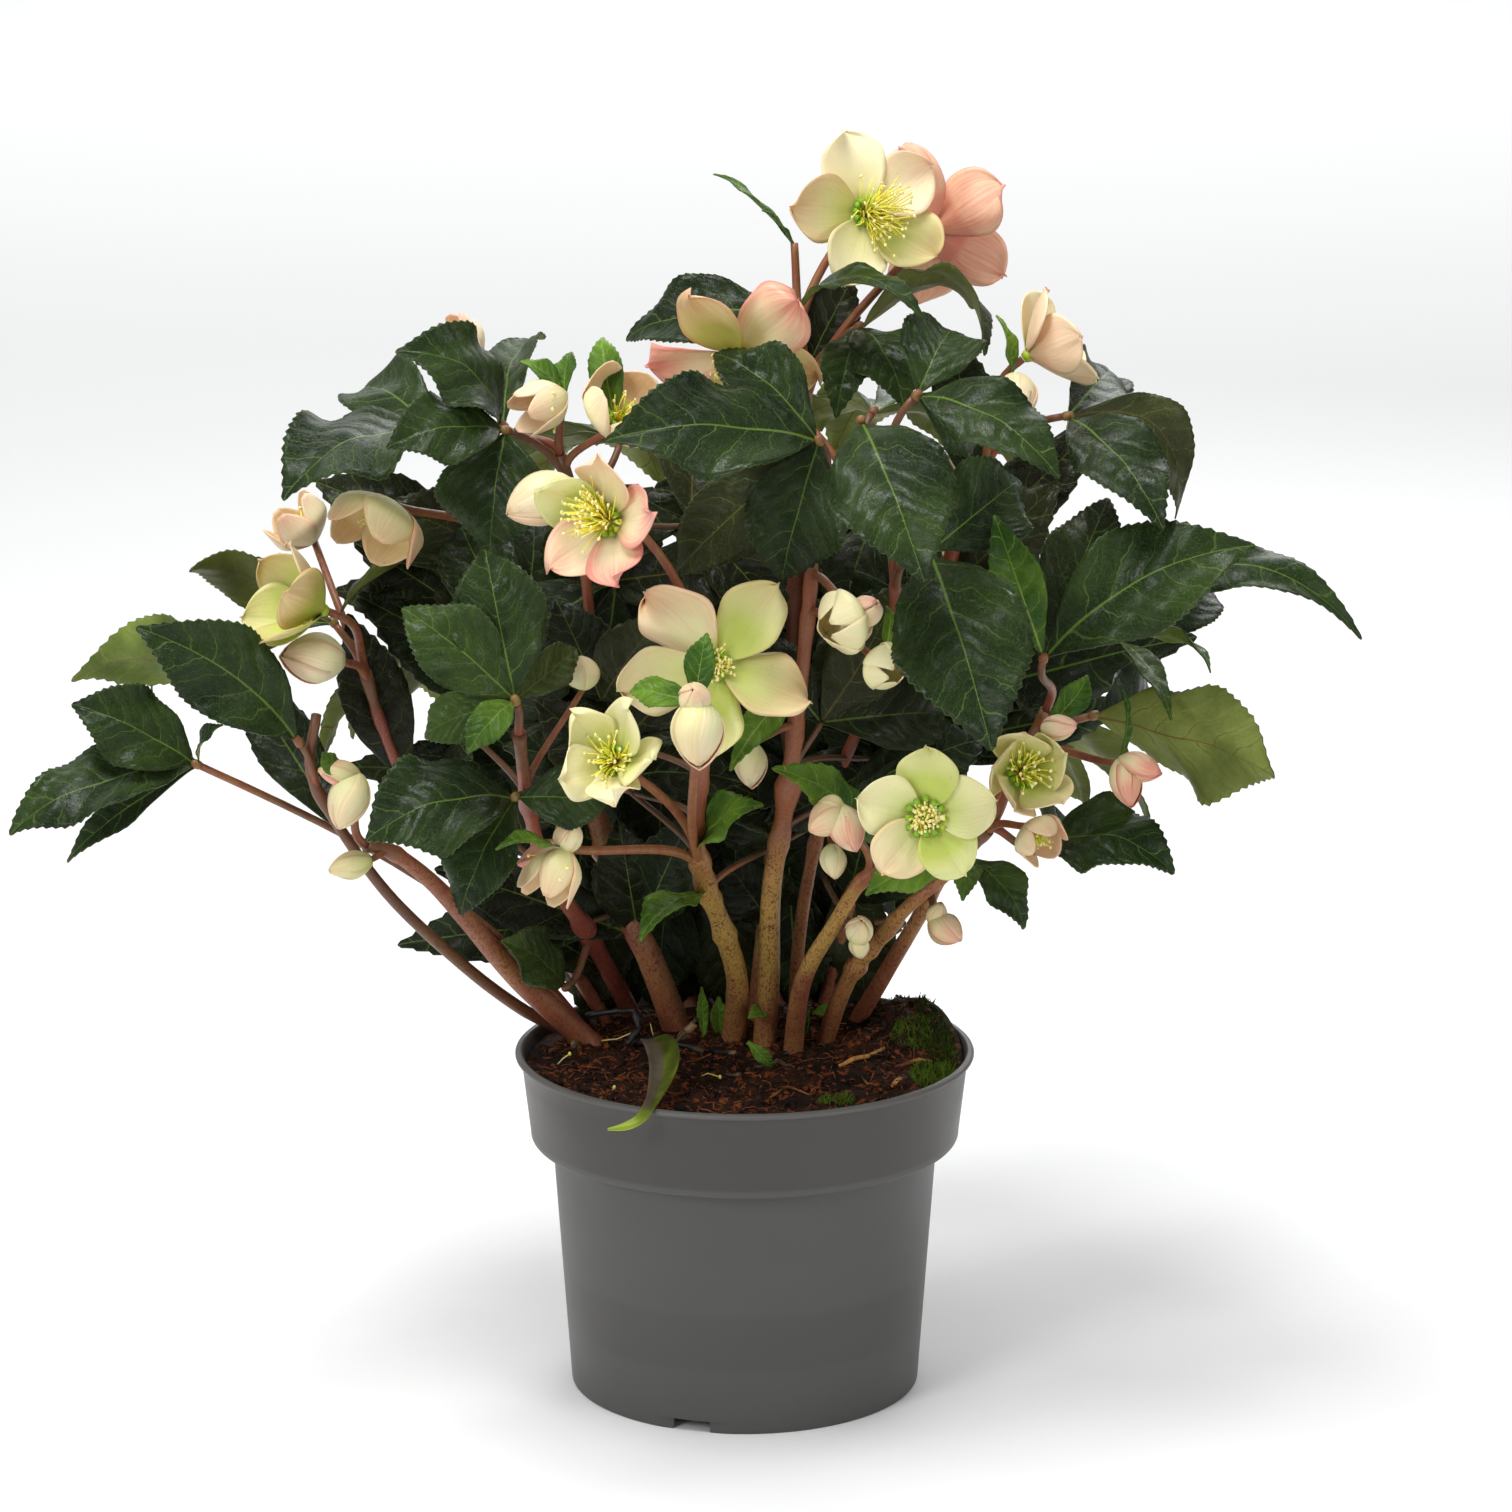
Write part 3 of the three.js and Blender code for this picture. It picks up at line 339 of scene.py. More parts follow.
def soil_height(x, y):
    """The height of the compost's top, in millimetres."""
    edge = max(0, 1 - (math.hypot(x, y) / SOIL_EDGE) ** 6)
    crown = 2.5 * math.exp(-((x / 60) ** 2) - ((y - 30) / 45) ** 2)
    heap = 12.5 * math.exp(-(((x - 74) / 30) ** 2) - ((y - 42) / 34) ** 2)
    clods = 0.8 * math.sin(0.22 * x + 1) * math.cos(0.19 * y) + 0.5 * math.sin(0.4 * x - 0.3 * y)
    return SOIL_LEVEL + heap + edge * (crown + clods)


def rough_height(x, y):
    """The same top with its lumps."""
    edge = min(1, max(0, (SOIL_EDGE - math.hypot(x, y)) / 5))
    lumps = fractal(Vector((x, y, 3)) * 0.16, 1, 2, 3) * 1.5
    grit = turbulence(Vector((x, y, 9)) * 0.5, 2, True) * 1.5
    return soil_height(x, y) + edge * (lumps + grit - 0.5)


def shade(red, green, blue):
    """A colour from its 0-255 readings."""
    parts = [part / 255 for part in (red, green, blue)]
    linear = [part / 12.92 if part <= 0.04045 else ((part + 0.055) / 1.055) ** 2.4 for part in parts]
    return (*linear, 1)


soil_profile = [
    (0, FLOOR_WALL + 0.3), (48.1, FLOOR_WALL + 0.3), (48.6, FLOOR_RAISE + FLOOR_WALL + 0.3),
    (BODY_FOOT - SOIL_SLACK, FLOOR_RAISE + FLOOR_WALL + 0.3),
    (BODY_TOP - SOIL_SLACK - 0.2, BAND_LOW - 0.6), (BAND_FOOT - SOIL_SLACK - 0.2, BAND_LOW + 1.4),
    *((SOIL_EDGE * (1 - i / SOIL_RINGS), SOIL_LEVEL) for i in range(SOIL_RINGS + 1)),
]

peat, tree, shader = material("peat", specular_ior_level=0.25)
place = object_place(tree)
grain = noise(tree, place, 420, detail=5, roughness=0.7)
patches = noise(tree, place, 45, detail=3)
colour = mix(tree, between(tree, grain, 0.3, 0.72), shade(16, 9, 6), shade(74, 40, 20))
colour = mix(tree, between(tree, patches, 0.42, 0.62, 0, 0.8), colour, shade(20, 12, 8))
red_bits = node(tree, "ShaderNodeTexVoronoi", {"Vector": place, "Scale": 520}).outputs["Color"]
reds = split(tree, red_bits)[0]
colour = mix(tree, between(tree, reds, 0.86, 0.93, 0, 0.75), colour, shade(138, 72, 34))
coat(tree, shader, colour, grain, 0.7, 0.0012, between(tree, patches, 0.3, 0.7, 0.78, 0.95))

shape = lathe(soil_profile, SOIL_STEPS)
for vert in shape.verts:
    x, y, z = vert.co / MM
    if z > SOIL_LEVEL - 0.01:
        vert.co.z = rough_height(x, y) * MM
piece("soil_top", shape, [peat], "potting_soil", "soil")



def scattered(reach):
    """A place on the compost, drawn evenly from a disc of this reach."""
    bearing, distance = draw.uniform(0, math.tau), reach * math.sqrt(draw.random())
    return distance * math.cos(bearing), distance * math.sin(bearing)


draw = random.Random(11)
shape = bmesh.new()
for _ in range(CRUMBS):
    x, y = scattered(CRUMB_REACH)
    size = draw.choice(CRUMB_SIZES) * draw.uniform(0.8, 1.25)
    crumb = bmesh.ops.create_icosphere(shape, subdivisions=1, radius=size * MM)["verts"]
    for vert in crumb:
        vert.co *= draw.uniform(0.7, 1.25)
    bmesh.ops.scale(shape, verts=crumb, vec=(draw.uniform(0.8, 1.5), draw.uniform(0.8, 1.5), 0.8))
    bmesh.ops.rotate(shape, verts=crumb, matrix=Matrix.Rotation(draw.uniform(0, 6), 3, "Z"))
    middle = Vector((x, y, rough_height(x, y) + 0.2 * size))
    bmesh.ops.translate(shape, verts=crumb, vec=middle * MM)
piece("soil_crumbs", shape, [peat], "potting_soil", "soil", smooth=False)


def sheet(shape, across, along, lay):
    """Adds a strip of faces; lay(u, t) gives the place and the UV of each point, with u from
    -1 to 1 across the strip and t from 0 to 1 along it."""
    made = bmesh.ops.create_grid(shape, x_segments=across, y_segments=along, size=1)["verts"]
    uv = shape.loops.layers.uv.verify()
    for vert in made:
        vert.co, flat = lay(vert.co.x, vert.co.y / 2 + 0.5)
        for loop in vert.link_loops:
            loop[uv].uv = flat
    return made


def tube(shape, points, radii, sides):
    """Adds a closed round rod through points in millimetres, with a radius at each."""
    ways = [(b - a).normalized() for a, b in zip(points, points[1:])]
    ways = [ways[0], *((a + b).normalized() for a, b in zip(ways, ways[1:])), ways[-1]]
    right = ways[0].orthogonal().normalized()
    rights = []
    for way in ways:
        right = (right - way * right.dot(way)).normalized()
        rights.append(right)
    rows = [0, *range(len(points)), len(points) - 1]
    sizes = [0, *radii, 0]

    def lay(u, t):
        row = round(t * (len(rows) - 1))
        place, angle = rows[row], math.pi * (u + 1)
        out = rights[place] * math.cos(angle) + ways[place].cross(rights[place]) * math.sin(angle)
        return (points[place] + out * sizes[row]) * MM, (u / 2 + 0.5, t)

    made = sheet(shape, sides, len(rows) - 1, lay)
    bmesh.ops.remove_doubles(shape, verts=made, dist=1e-7)


fibre_brown, tree, shader = material("fibre", roughness=0.85)
streaks = noise(tree, object_place(tree), 70, detail=4)
colour = mix(tree, between(tree, streaks, 0.3, 0.7), shade(44, 20, 11), shade(170, 92, 46))
coat(tree, shader, colour, streaks, 0.5, 0.0003)
shape = bmesh.new()
for _ in range(FIBRES):
    x, y = scattered(FIBRE_REACH)
    heading, length, bow = draw.uniform(0, math.tau), draw.uniform(3, 11), draw.uniform(-0.5, 0.5)
    points = []
    for j in range(5):
        turn = heading + bow * j
        x, y = x + math.cos(turn) * length / 4, y + math.sin(turn) * length / 4
        if math.hypot(x, y) > SOIL_LIMIT:
            break
        points.append(Vector((x, y, rough_height(x, y) + 0.5 + 0.5 * (j % 2))))
    if len(points) > 2:
        thick = draw.uniform(0.12, 0.3)
        tube(shape, points, [thick] * len(points), 3)
piece("soil_fibres", shape, [fibre_brown], "potting_soil", "soil")

# ---- Stems ---------------------------------------------------------------------------------
# Fleshy stems rise from the crown, ribbed at their nodes and mottled from olive to a dark
# red. Thin stalks leave them for the leaves and the flowers, with buds and bracts on them.
HOLE_END = 118
CROWN = 136
# Stems by their number: radius at the foot and at the head, where it leaves the compost, and
# its way up.
STEMS = {
    1: (2.8, 2.1, (-70, 31), ((-93, 20, 153), (-116, 5, 176), (-143, -20, 211),
        (-161, -40, 244), (-172, -57, 273), (-169, -62, 298))),
    2: (6.0, 2.6, (-65, 22), ((-94, 5, 171), (-114, -12, 201), (-127, -28, 221),
        (-140, -42, 236), (-151, -50, 242))),
    3: (3.0, 2.0, (-68, 41), ((-102, 30, 184), (-131, 5, 237), (-146, -8, 277),
        (-153, -16, 305))),
    4: (3.2, 1.9, (-59, 56), ((-77, 40, 176), (-77, 20, 213), (-71, 5, 266),
        (-62, -25, 321), (-66, -45, 373), (-72, -50, 400))),
    5: (4.2, 2.4, (-48, 64), ((-66, 22, 186), (-80, -30, 226), (-85, -80, 268),
        (-87, -103, 300))),
    6: (6.5, 2.2, (-28, 38), ((-40, 30, 173), (-47, 28, 188), (-58, 30, 223),
        (-76, 28, 272), (-95, 16, 328), (-106, 0, 374))),
    7: (5.5, 2.0, (-5, 22), ((-3, 5, 169), (-9, -12, 197), (-16, -32, 222),
        (-19, -52, 246), (-16, -78, 280), (-13, -90, 310))),
    8: (5.2, 2.1, (8, 14), ((10, 5, 170), (11, -15, 214), (16, -32, 250), (20, -45, 284),
        (25, -60, 336), (28, -68, 378))),
    9: (4.5, 2.4, (20, 9), ((24, -8, 173), (36, -28, 202), (46, -48, 225),
        (57, -64, 240))),
    10: (4.2, 2.1, (33, 21), ((43, 0, 172), (56, -15, 194), (67, -28, 211),
        (83, -42, 229), (97, -54, 249))),
    11: (4.0, 2.0, (45, 40), ((57, 28, 163), (71, 15, 192), (84, 2, 220),
        (106, -15, 256), (121, -32, 293))),
    12: (3.0, 2.0, (21, 38), ((22, 32, 171), (26, 18, 208), (34, 0, 248),
        (51, -25, 296), (60, -42, 333), (56, -60, 385))),
    13: (4.5, 2.4, (5, 56), ((11, 50, 201), (19, 38, 282), (22, 22, 361), (24, 8, 413),
        (22, 2, 436))),
    14: (4.0, 2.2, (34, 64), ((44, 60, 190), (65, 42, 264), (84, 18, 345),
        (97, -2, 386))),
    15: (4.2, 2.2, (-24, 72), ((-32, 84, 180), (-48, 104, 230), (-62, 108, 290),
        (-66, 92, 345))),
    16: (4.2, 2.2, (12, 74), ((20, 88, 180), (38, 110, 235), (48, 112, 300),
        (46, 96, 360))),
}
# By stem number: how red and how olive it is, from 0 to 1. The others are a warm brown.
STEM_TINTS = {
    1: (0.3, 0.1), 2: (0.35, 0.3), 3: (0.9, 0.0), 5: (0.9, 0.1),
    6: (0.5, 0.5), 7: (0.2, 0.9), 8: (0.2, 0.9), 9: (0.3, 0.8),
    10: (0.5, 0.6), 11: (0.6, 0.4), 12: (0.5, 0.3), 13: (0.4, 0.7),
}
CURVE_STEPS = 200
STEM_SIDES = 14
STALK_SIDES = 9
STALK_STEPS = 12


class StemCurve:
    """A smooth way through a stem's points, read by the share of its length."""

    def __init__(self, number):
        _, _, (x, y), way = STEMS[number]
        self.points = [Vector((x, y, HOLE_END)), Vector((x, y, CROWN)), *map(Vector, way)]
        self.table = [0.0]
        spots = [self.spot(i / CURVE_STEPS) for i in range(CURVE_STEPS + 1)]
        for a, b in zip(spots, spots[1:]):
            self.table.append(self.table[-1] + (b - a).length)

    def spot(self, t):
        """The place on a spline through the points, t from 0 to 1 in even steps of points."""
        last = len(self.points) - 1
        run = min(int(t * last), last - 1)
        w = t * last - run
        b, c = self.points[run], self.points[run + 1]
        a = self.points[run - 1] if run else 2 * b - c
        d = self.points[run + 2] if run + 2 <= last else 2 * c - b
        rise, fall = (c - a) / 2, (d - b) / 2
        bent = (3 * (c - b) - 2 * rise - fall) * w ** 2
        return b + rise * w + bent + (2 * (b - c) + rise + fall) * w ** 3

    def at(self, share):
        """The place at a share of the length."""
        length = share * self.table[-1]
        i = next((i for i in range(CURVE_STEPS) if self.table[i + 1] >= length), CURVE_STEPS - 1)
        part = (length - self.table[i]) / (self.table[i + 1] - self.table[i])
        return self.spot((i + part) / CURVE_STEPS)

    def heading(self, share):
        """The way the stem runs at a share of its length."""
        return (self.at(min(1, share + 0.002)) - self.at(max(0, share - 0.002))).normalized()


def stem_name(number):
    """The CAD node of a stem."""
    return f"stem_{number:02d}"


curves = {number: StemCurve(number) for number in STEMS}


def stalk_points(stem, share, end, heading):
    """A stalk leaves its stem along the stem, and comes in to its end along the heading."""
    start = curves[stem].at(share)
    reach = 0.35 * (end - start).length
    first, last = start + curves[stem].heading(share) * reach, end - heading * reach
    spots = []
    for i in range(STALK_STEPS + 1):
        t = i / STALK_STEPS
        spots.append(start * (1 - t) ** 3 + first * 3 * t * (1 - t) ** 2
                     + last * 3 * t * t * (1 - t) + end * t ** 3)
    return spots


def marked(shape, made, **values):
    """Writes a plain value for each named attribute on the given points."""
    for name, value in values.items():
        layer = shape.verts.layers.float[name]
        for vert in made:
            vert[layer] = value


def new_shape(*names):
    """An empty bmesh with named point attributes."""
    shape = bmesh.new()
    for name in names:
        shape.verts.layers.float.new(name)
    return shape


def rod(shape, points, radii, sides, **values):
    """A tube with its attributes."""
    before = len(shape.verts)
    tube(shape, points, radii, sides)
    shape.verts.ensure_lookup_table()
    marked(shape, shape.verts[before:], **values)


# ---- Leaves --------------------------------------------------------------------------------
# Leathery leaves, each a few long leaflets spread from a small hub. A leaflet folds along its
# midrib and has a sharp sawn edge, and its veins are sunk above and stand proud below.
OUTWARD = (0, 0, 0)
FRONT = (0, -0.9, 0.4)
# Leaves in the order of their numbers: stem, share up it, hub, and the leaflets with their
# tip, width, arch, the way they face and, for some, a sideways bow.
LEAVES = [
    (2, 0.1, (-219, -45, 274), (
        ((-266, -60, 303), 34, 7, (-0.2, -0.8, 0.6)), ((-238, -46, 306), 10, 3, (-0.9, -0.3, 0.3)),
        ((-291, -80, 256), 35, 9, (-0.3, -0.7, 0.7)), ((-273, -52, 236), 13, 4, (-0.2, -0.8, 0.6)),
        ((-208, -52, 293), 10, 3, OUTWARD))),
    (1, 0.84, (-176, -65, 288), (
        ((-235, -93, 340), 38, 7, (-0.3, -0.8, 0.5), 6),
        ((-271, -8, 304), 40, 10, (0.1, 0.85, 0.5), -14))),
    (3, 1, (-166, -12, 325), (
        ((-221, -45, 356), 30, 7, (0.1, 0.85, 0.4)), ((-208, 30, 300), 24, 8, OUTWARD),
        ((-122, 30, 345), 24, 8, OUTWARD))),
    (6, 0.985, (-121, -14, 402), (
        ((-181, -72, 389), 50, 12, (-0.3, -0.6, 0.75)), ((-160, 52, 408), 32, 12, OUTWARD))),
    (4, 1, (-95, -45, 411), (
        ((-135, -68, 446), 38, 14, (-0.2, -0.6, 0.75)), ((-82, 14, 440), 26, 8, OUTWARD))),
    (4, 0.95, (-93, -62, 412), (
        ((-138, -90, 411), 31, 8, (-0.2, -0.8, 0.5)),
        ((-99, -78, 366), 44, 6, (-0.1, -0.95, 0.3)))),
    (5, 1, (-88, -110, 315), (
        ((-100, -96, 373), 38, 7, (0, -0.9, 0.35)), ((-132, -108, 352), 32, 8, (-0.2, -0.8, 0.6)),
        ((-106, -131, 299), 16, 5, (0, -0.8, 0.6)), ((-126, -99, 298), 20, 5, (0, -0.8, 0.5)),
        ((-64, -84, 331), 16, 4, (0.3, -0.9, 0.3)))),
    (5, 0.82, (-89, -100, 274), (
        ((-147, -125, 264), 44, 12, (-0.1, -0.75, 0.65)),
        ((-111, -116, 230), 29, 6, (-0.3, -0.9, 0.3)), ((-52, -96, 271), 25, 6, (0.2, -0.9, 0.4)))),
    (5, 0.3, (-74, 8, 166), (
        ((-99, -10, 192), 26, 5, (-0.3, -0.6, 0.7)),)),
    (8, 1, (29, -85, 412), (
        ((-52, -124, 421), 44, 9, (-0.1, -0.8, 0.6)), ((-13, -68, 445), 30, 10, (0, -0.75, 0.65)),
        ((14, -86, 356), 42, 5, (-0.1, -0.95, 0.3)), ((-30, -66, 354), 30, 5, FRONT))),
    (12, 0.96, (45, -92, 421), (
        ((68, -150, 370), 48, 10, (0, -0.9, 0.4)),)),
    (12, 1, (67, -75, 428), (
        ((121, -120, 405), 34, 11, (0.1, -0.7, 0.7)), ((83, -38, 449), 33, 8, (0, -0.8, 0.6)),
        ((92, -54, 402), 20, 5, (0.2, -0.9, 0.3)))),
    (14, 1, (128, -35, 413), (
        ((162, -96, 381), 35, 9, (0.1, -0.8, 0.6)), ((177, -8, 366), 27, 6, (0.1, -0.8, 0.5), -20),
        ((150, 40, 418), 28, 9, OUTWARD))),
    (12, 0.84, (72, -84, 368), (
        ((94, -150, 305), 54, 11, (0, -0.9, 0.4)), ((110, -50, 392), 38, 6, (0.2, -0.9, 0.4)))),
    (11, 1, (117, -80, 325), (
        ((196, -97, 374), 44, 4, (0.1, -0.85, 0.5), -8),
        ((97, -80, 382), 20, 4, (-0.1, -0.9, 0.35)), ((144, -50, 385), 32, 6, FRONT))),
    (14, 0.84, (150, -12, 318), (
        ((248, -51, 329), 27, 32, (0.15, -0.6, 0.8), -8), ((188, -44, 313), 13, 8, OUTWARD),
        ((168, -80, 303), 10, 6, (0.2, -0.8, 0.5)), ((196, 30, 330), 28, 9, OUTWARD))),
    (11, 0.9, (140, -41, 293), (
        ((211, -78, 279), 53, 3, (0, 0.9, 0.4)), ((168, 14, 290), 26, 8, OUTWARD))),
    (10, 1, (116, -60, 242), (
        ((171, -86, 241), 41, 14, (0.1, -0.55, 0.85)), ((122, -4, 250), 26, 8, OUTWARD))),
    (9, 1, (87, -68, 242), (
        ((47, -86, 232), 19, 5, (0, -0.7, 0.7)), ((86, -92, 230), 13, 7, (0.1, -0.7, 0.7)),
        ((112, -84, 216), 19, 8, (0.3, -0.7, 0.6)))),
    (13, 1, (20, -18, 452), (
        ((71, -60, 458), 20, 15, (0.1, -0.35, 0.9)), ((-50, -2, 440), 32, 8, (-0.1, -0.7, 0.7)))),
    (13, 0.93, (46, -4, 444), (
        ((98, -34, 438), 34, 26, (0.3, 0.35, 0.85)), ((36, -42, 414), 20, 7, (-0.1, -0.9, 0.4)),
        ((64, -46, 418), 29, 8, (0.2, -0.8, 0.5)))),
]
# The leaves at the back follow on: stem, share up it, bearing in degrees, distance out, height
# and leaflet length.
BACK_LEAVES = [
    (16, 0.62, 32, 118, 268, 92), (16, 1, 62, 116, 392, 96),
    (16, 0.78, 84, 148, 318, 98), (15, 1, 118, 112, 380, 96),
    (15, 0.66, 146, 128, 296, 94),
]
HAND = ((-78, 0.8), (-40, 0.95), (0, 1), (40, 0.95), (78, 0.8))
# Bracts and young leaves on the stems: stem, foot (or share up the stem), tip, width, arch.
BRACTS = [
    (2, (-154, -58, 272), (-168, -68, 284), 9, 2),
    (4, (-70, -62, 426), (-87, -60, 440), 10, 3),
    (4, (-70, -62, 426), (-68, -50, 442), 9, 2),
    (4, (-50, -62, 414), (-56, -42, 447), 14, 4),
    (7, (-18, -147, 322), (-14, -142, 349), 12, 3),
    (7, (-18, -147, 322), (-44, -140, 326), 13, 3),
    (7, (-70, -98, 253), (-95, -126, 262), 10, 3),
    (11, (148, -80, 283), (150, -76, 312), 5, 2),
    (11, (118, -82, 297), (136, -74, 317), 12, 3),
    (14, (106, -34, 427), (101, -28, 453), 9, 2),
    (13, (20, 6, 476), (-11, 14, 505), 9, 2),
    (13, (20, 6, 476), (8, 2, 491), 6, 1),
    (15, (-40, 138, 318), (-56, 150, 334), 12, 3),
    (16, (0, 126, 412), (-14, 118, 428), 12, 3),
    (7, 0.5, (-42, -76, 212), 18, 5), (7, 0.62, (6, -74, 266), 22, 6),
    (8, 0.74, (-6, -92, 284), 14, 5), (12, 0.7, (58, -82, 349), 8, 3),
    (9, 1, (13, -98, 287), 23, 8), (8, 0.14, (2, -4, 157), 7, 1),
]
# Leaflets inside the plant, darkened with painted shade, with the same columns and, for some, the way
# they face.
INNER_LEAFLETS = [
    (6, 0.25, (-52, 14, 236), 30, 5), (6, 0.25, (-22, 8, 240), 30, 5),
    (13, 0.3, (-10, 30, 254), 34, 6), (13, 0.3, (36, 32, 258), 34, 6),
    (14, 0.25, (56, 46, 246), 30, 5), (14, 0.25, (84, 40, 226), 28, 5),
    (14, 0.36, (48, 20, 314), 32, 6), (14, 0.75, (128, 14, 378), 34, 6),
    (14, 0.95, (84, 14, 440), 26, 5), (13, 0.955, (44, 12, 462), 24, 5),
    (13, 0.75, (-38, 24, 374), 36, 6), (16, 0.12, (10, 64, 208), 34, 5),
    (16, 0.12, (56, 86, 205), 34, 5), (15, 0.12, (-62, 66, 190), 34, 5),
    (15, 0.12, (-24, 72, 215), 34, 5),
    (3, 0.75, (-161, -3, 327), 28, 6),
    (1, 0.75, (-204, 2, 298), 26, 6),
    (6, 0.45, (-120, 20, 282), 36, 6),
    (6, 0.4, (-104, 50, 230), 34, 6), (6, 0.9, (-146, 0, 372), 28, 5),
    (6, 0.62, (-158, 12, 332), 40, 6), (16, 0.1, (-8, 70, 180), 28, 4),
    (13, 0.42, (32, 32, 296), 30, 5),
    (5, (-57, -38, 298), (-31, -62, 340), 26, 6),
    (5, (-57, -38, 298), (-75, -40, 341), 28, 6),
    (6, 0.5, (-134, 16, 264), 27, 5), (5, 0.2, (-104, 18, 200), 24, 4),
    (5, 0.3, (-70, 34, 196), 26, 4), (6, 0.8, (-118, 14, 350), 27, 5),
    (6, 0.7, (-148, 18, 312), 27, 5), (4, 0.5, (-112, 22, 232), 26, 5),
    (4, 0.8, (-36, 14, 370), 28, 5), (13, 0.5, (-34, 20, 288), 28, 5),
    (13, 0.2, (-8, 30, 214), 28, 5),
    (6, 0.86, (-177, 32, 376), 34, 6), (6, 0.78, (-170, 26, 331), 30, 6),
    (6, 0.72, (-160, 22, 352), 30, 5), (6, 0.28, (-146, 22, 181), 26, 5),
    (6, 0.5, (-166, 20, 258), 28, 5), (14, 0.8, (147, 36, 400), 28, 6),
    (14, 0.5, (160, 36, 280), 30, 6), (14, 0.58, (188, 36, 310), 32, 6),
    (6, 0.25, (-128, 14, 216), 30, 4),
]
# Two rows of long leaflets hang behind the stems down to the compost, in layers that clear
# each other.
HANGING = 13
HANGING_STEP = 10
LAYERS = 3
LAYER_STEP = 7
HANGING_REACH = 85
for i in range(HANGING):
    layer = i % LAYERS
    x, y = -68 + HANGING_STEP * i, 60 + LAYER_STEP * layer
    stem = 15 if x < 0 else 16
    tip = (x, min(y, math.sqrt(HANGING_REACH ** 2 - x * x)), 139)
    INNER_LEAFLETS.append((stem, (0.85 * x, y + 8, 202 + 4 * layer), tip, 32, 4))
    x = 1.15 * x + 5
    INNER_LEAFLETS.append((stem, (0.85 * x, y + 18, 270), (x, y + 10, 174), 35, 5))
HUB_RADIUS = 2.0
HUB_LENGTH = 4.0
BLADE = 0.55
FOLD = 0.12
WAVE = 0.22
TOOTH = 0.013
WIDE_LEAFLET = 24
LEAF_MARKS = ("young", "faded", "rim", "deep")
# By leaf number: how young and bright (0 to 1) and how faded to olive brown (0 to 1) each
# leaflet is, in order.
TINTS = {
    2: ((0.05, 0), (0.35, 0.2)), 3: ((0.1, 0.45), (0, 0), (0, 0)),
    7: ((0.05, 0), (0.1, 0), (0.55, 0), (0.2, 0), (0.2, 0.5)), 9: ((0.2, 0.25),),
    13: ((0, 0), (0.1, 0.75), (0, 0)), 15: ((0.06, 0), (0.75, 0), (0, 0.2)),
    16: ((0.05, 0), (0.3, 0), (0.35, 0), (0, 0)), 17: ((0.1, 0.1), (0, 0)),
    18: ((0.12, 0), (0, 0)), 19: ((0.7, 0), (0.4, 0), (0.15, 0)),
    20: ((0.1, 0), (0, 0)), 21: ((0, 0.35), (0.1, 0), (0.1, 0)),
    10: ((0.02, 0), (0.05, 0), (0, 0), (0, 0.5)),
}
OTHER_LEAFLET = (0.04, 0)


def outward(point):
    """The way out of the plant's middle at a point."""
    return Vector((point.x * 0.7, point.y * 0.7, 0.5 * (point.z - 150))).normalized()


def leaflet(shape, foot, tip, width, arch, face, turn, young, faded, bow=0, deep=0,
            across=14, teeth=26):
    """A leaflet: narrow at its foot, widest past the middle, pointed, with a sawn, waved edge."""
    foot, tip = Vector(foot), Vector(tip)
    up_hint = Vector(face) if any(face) else outward((foot + tip) / 2)
    chord = tip - foot
    length = chord.length
    side = chord.cross(up_hint).normalized()
    up = side.cross(chord).normalized()
    phase = 2.4 * turn
    rows = 2 * teeth
    on_rim = []

    def lay(u, t):
        on_rim.append(float(abs(u) > 0.999))
        row = round(t * rows)
        swell = max(0, math.sin(math.pi * t ** 1.15)) ** 0.85
        swell *= 1 - 0.42 * max(0, (t - 0.56) / 0.44) ** 1.5
        half = max(0.5 * width * swell, 0.9 if t < 0.5 else 0.25)
        reach = half
        # The teeth: every other row of the rim stands out and leans towards the tip.
        if abs(u) > 0.999 and 3 < row < rows:
            size = 0.75 + 0.5 * math.sin(7 * row + phase) ** 2
            reach += TOOTH * width * size * (1 if row % 2 else -0.35) * min(1, 2.5 * swell)
            t += (0.55 if row % 2 else 0) / rows
        slope = (chord + up * 4 * arch * (1 - 2 * t)).normalized()
        normal = side.cross(slope)
        # Ripples near the rim, a fold along the midrib, a groove in it and a drooping tip.
        ripple = 0.09 * math.sin(21 * t + phase * 2 + 2 * u) * abs(u) ** 3
        ripple += 0.05 * math.sin(13 * t + 4 * u + phase)
        lift = half * (u * u * (FOLD + WAVE * math.sin(9 * t + phase + u)) + ripple)
        lift -= 0.5 * math.exp(-(u * half / 1.6) ** 2) + 0.05 * length * max(0, t - 0.72) ** 2 / 0.08
        bend = 4 * t * (1 - t)
        place = foot + chord * t + up * arch * bend + side * (u * reach + bow * bend) + normal * lift
        return place * MM, (0.5 + u * half / length, t)

    made = sheet(shape, across, rows, lay)
    marked(shape, made, young=young, faded=faded, deep=deep)
    rim = shape.verts.layers.float["rim"]
    for vert, value in zip(made, on_rim):
        vert[rim] = value


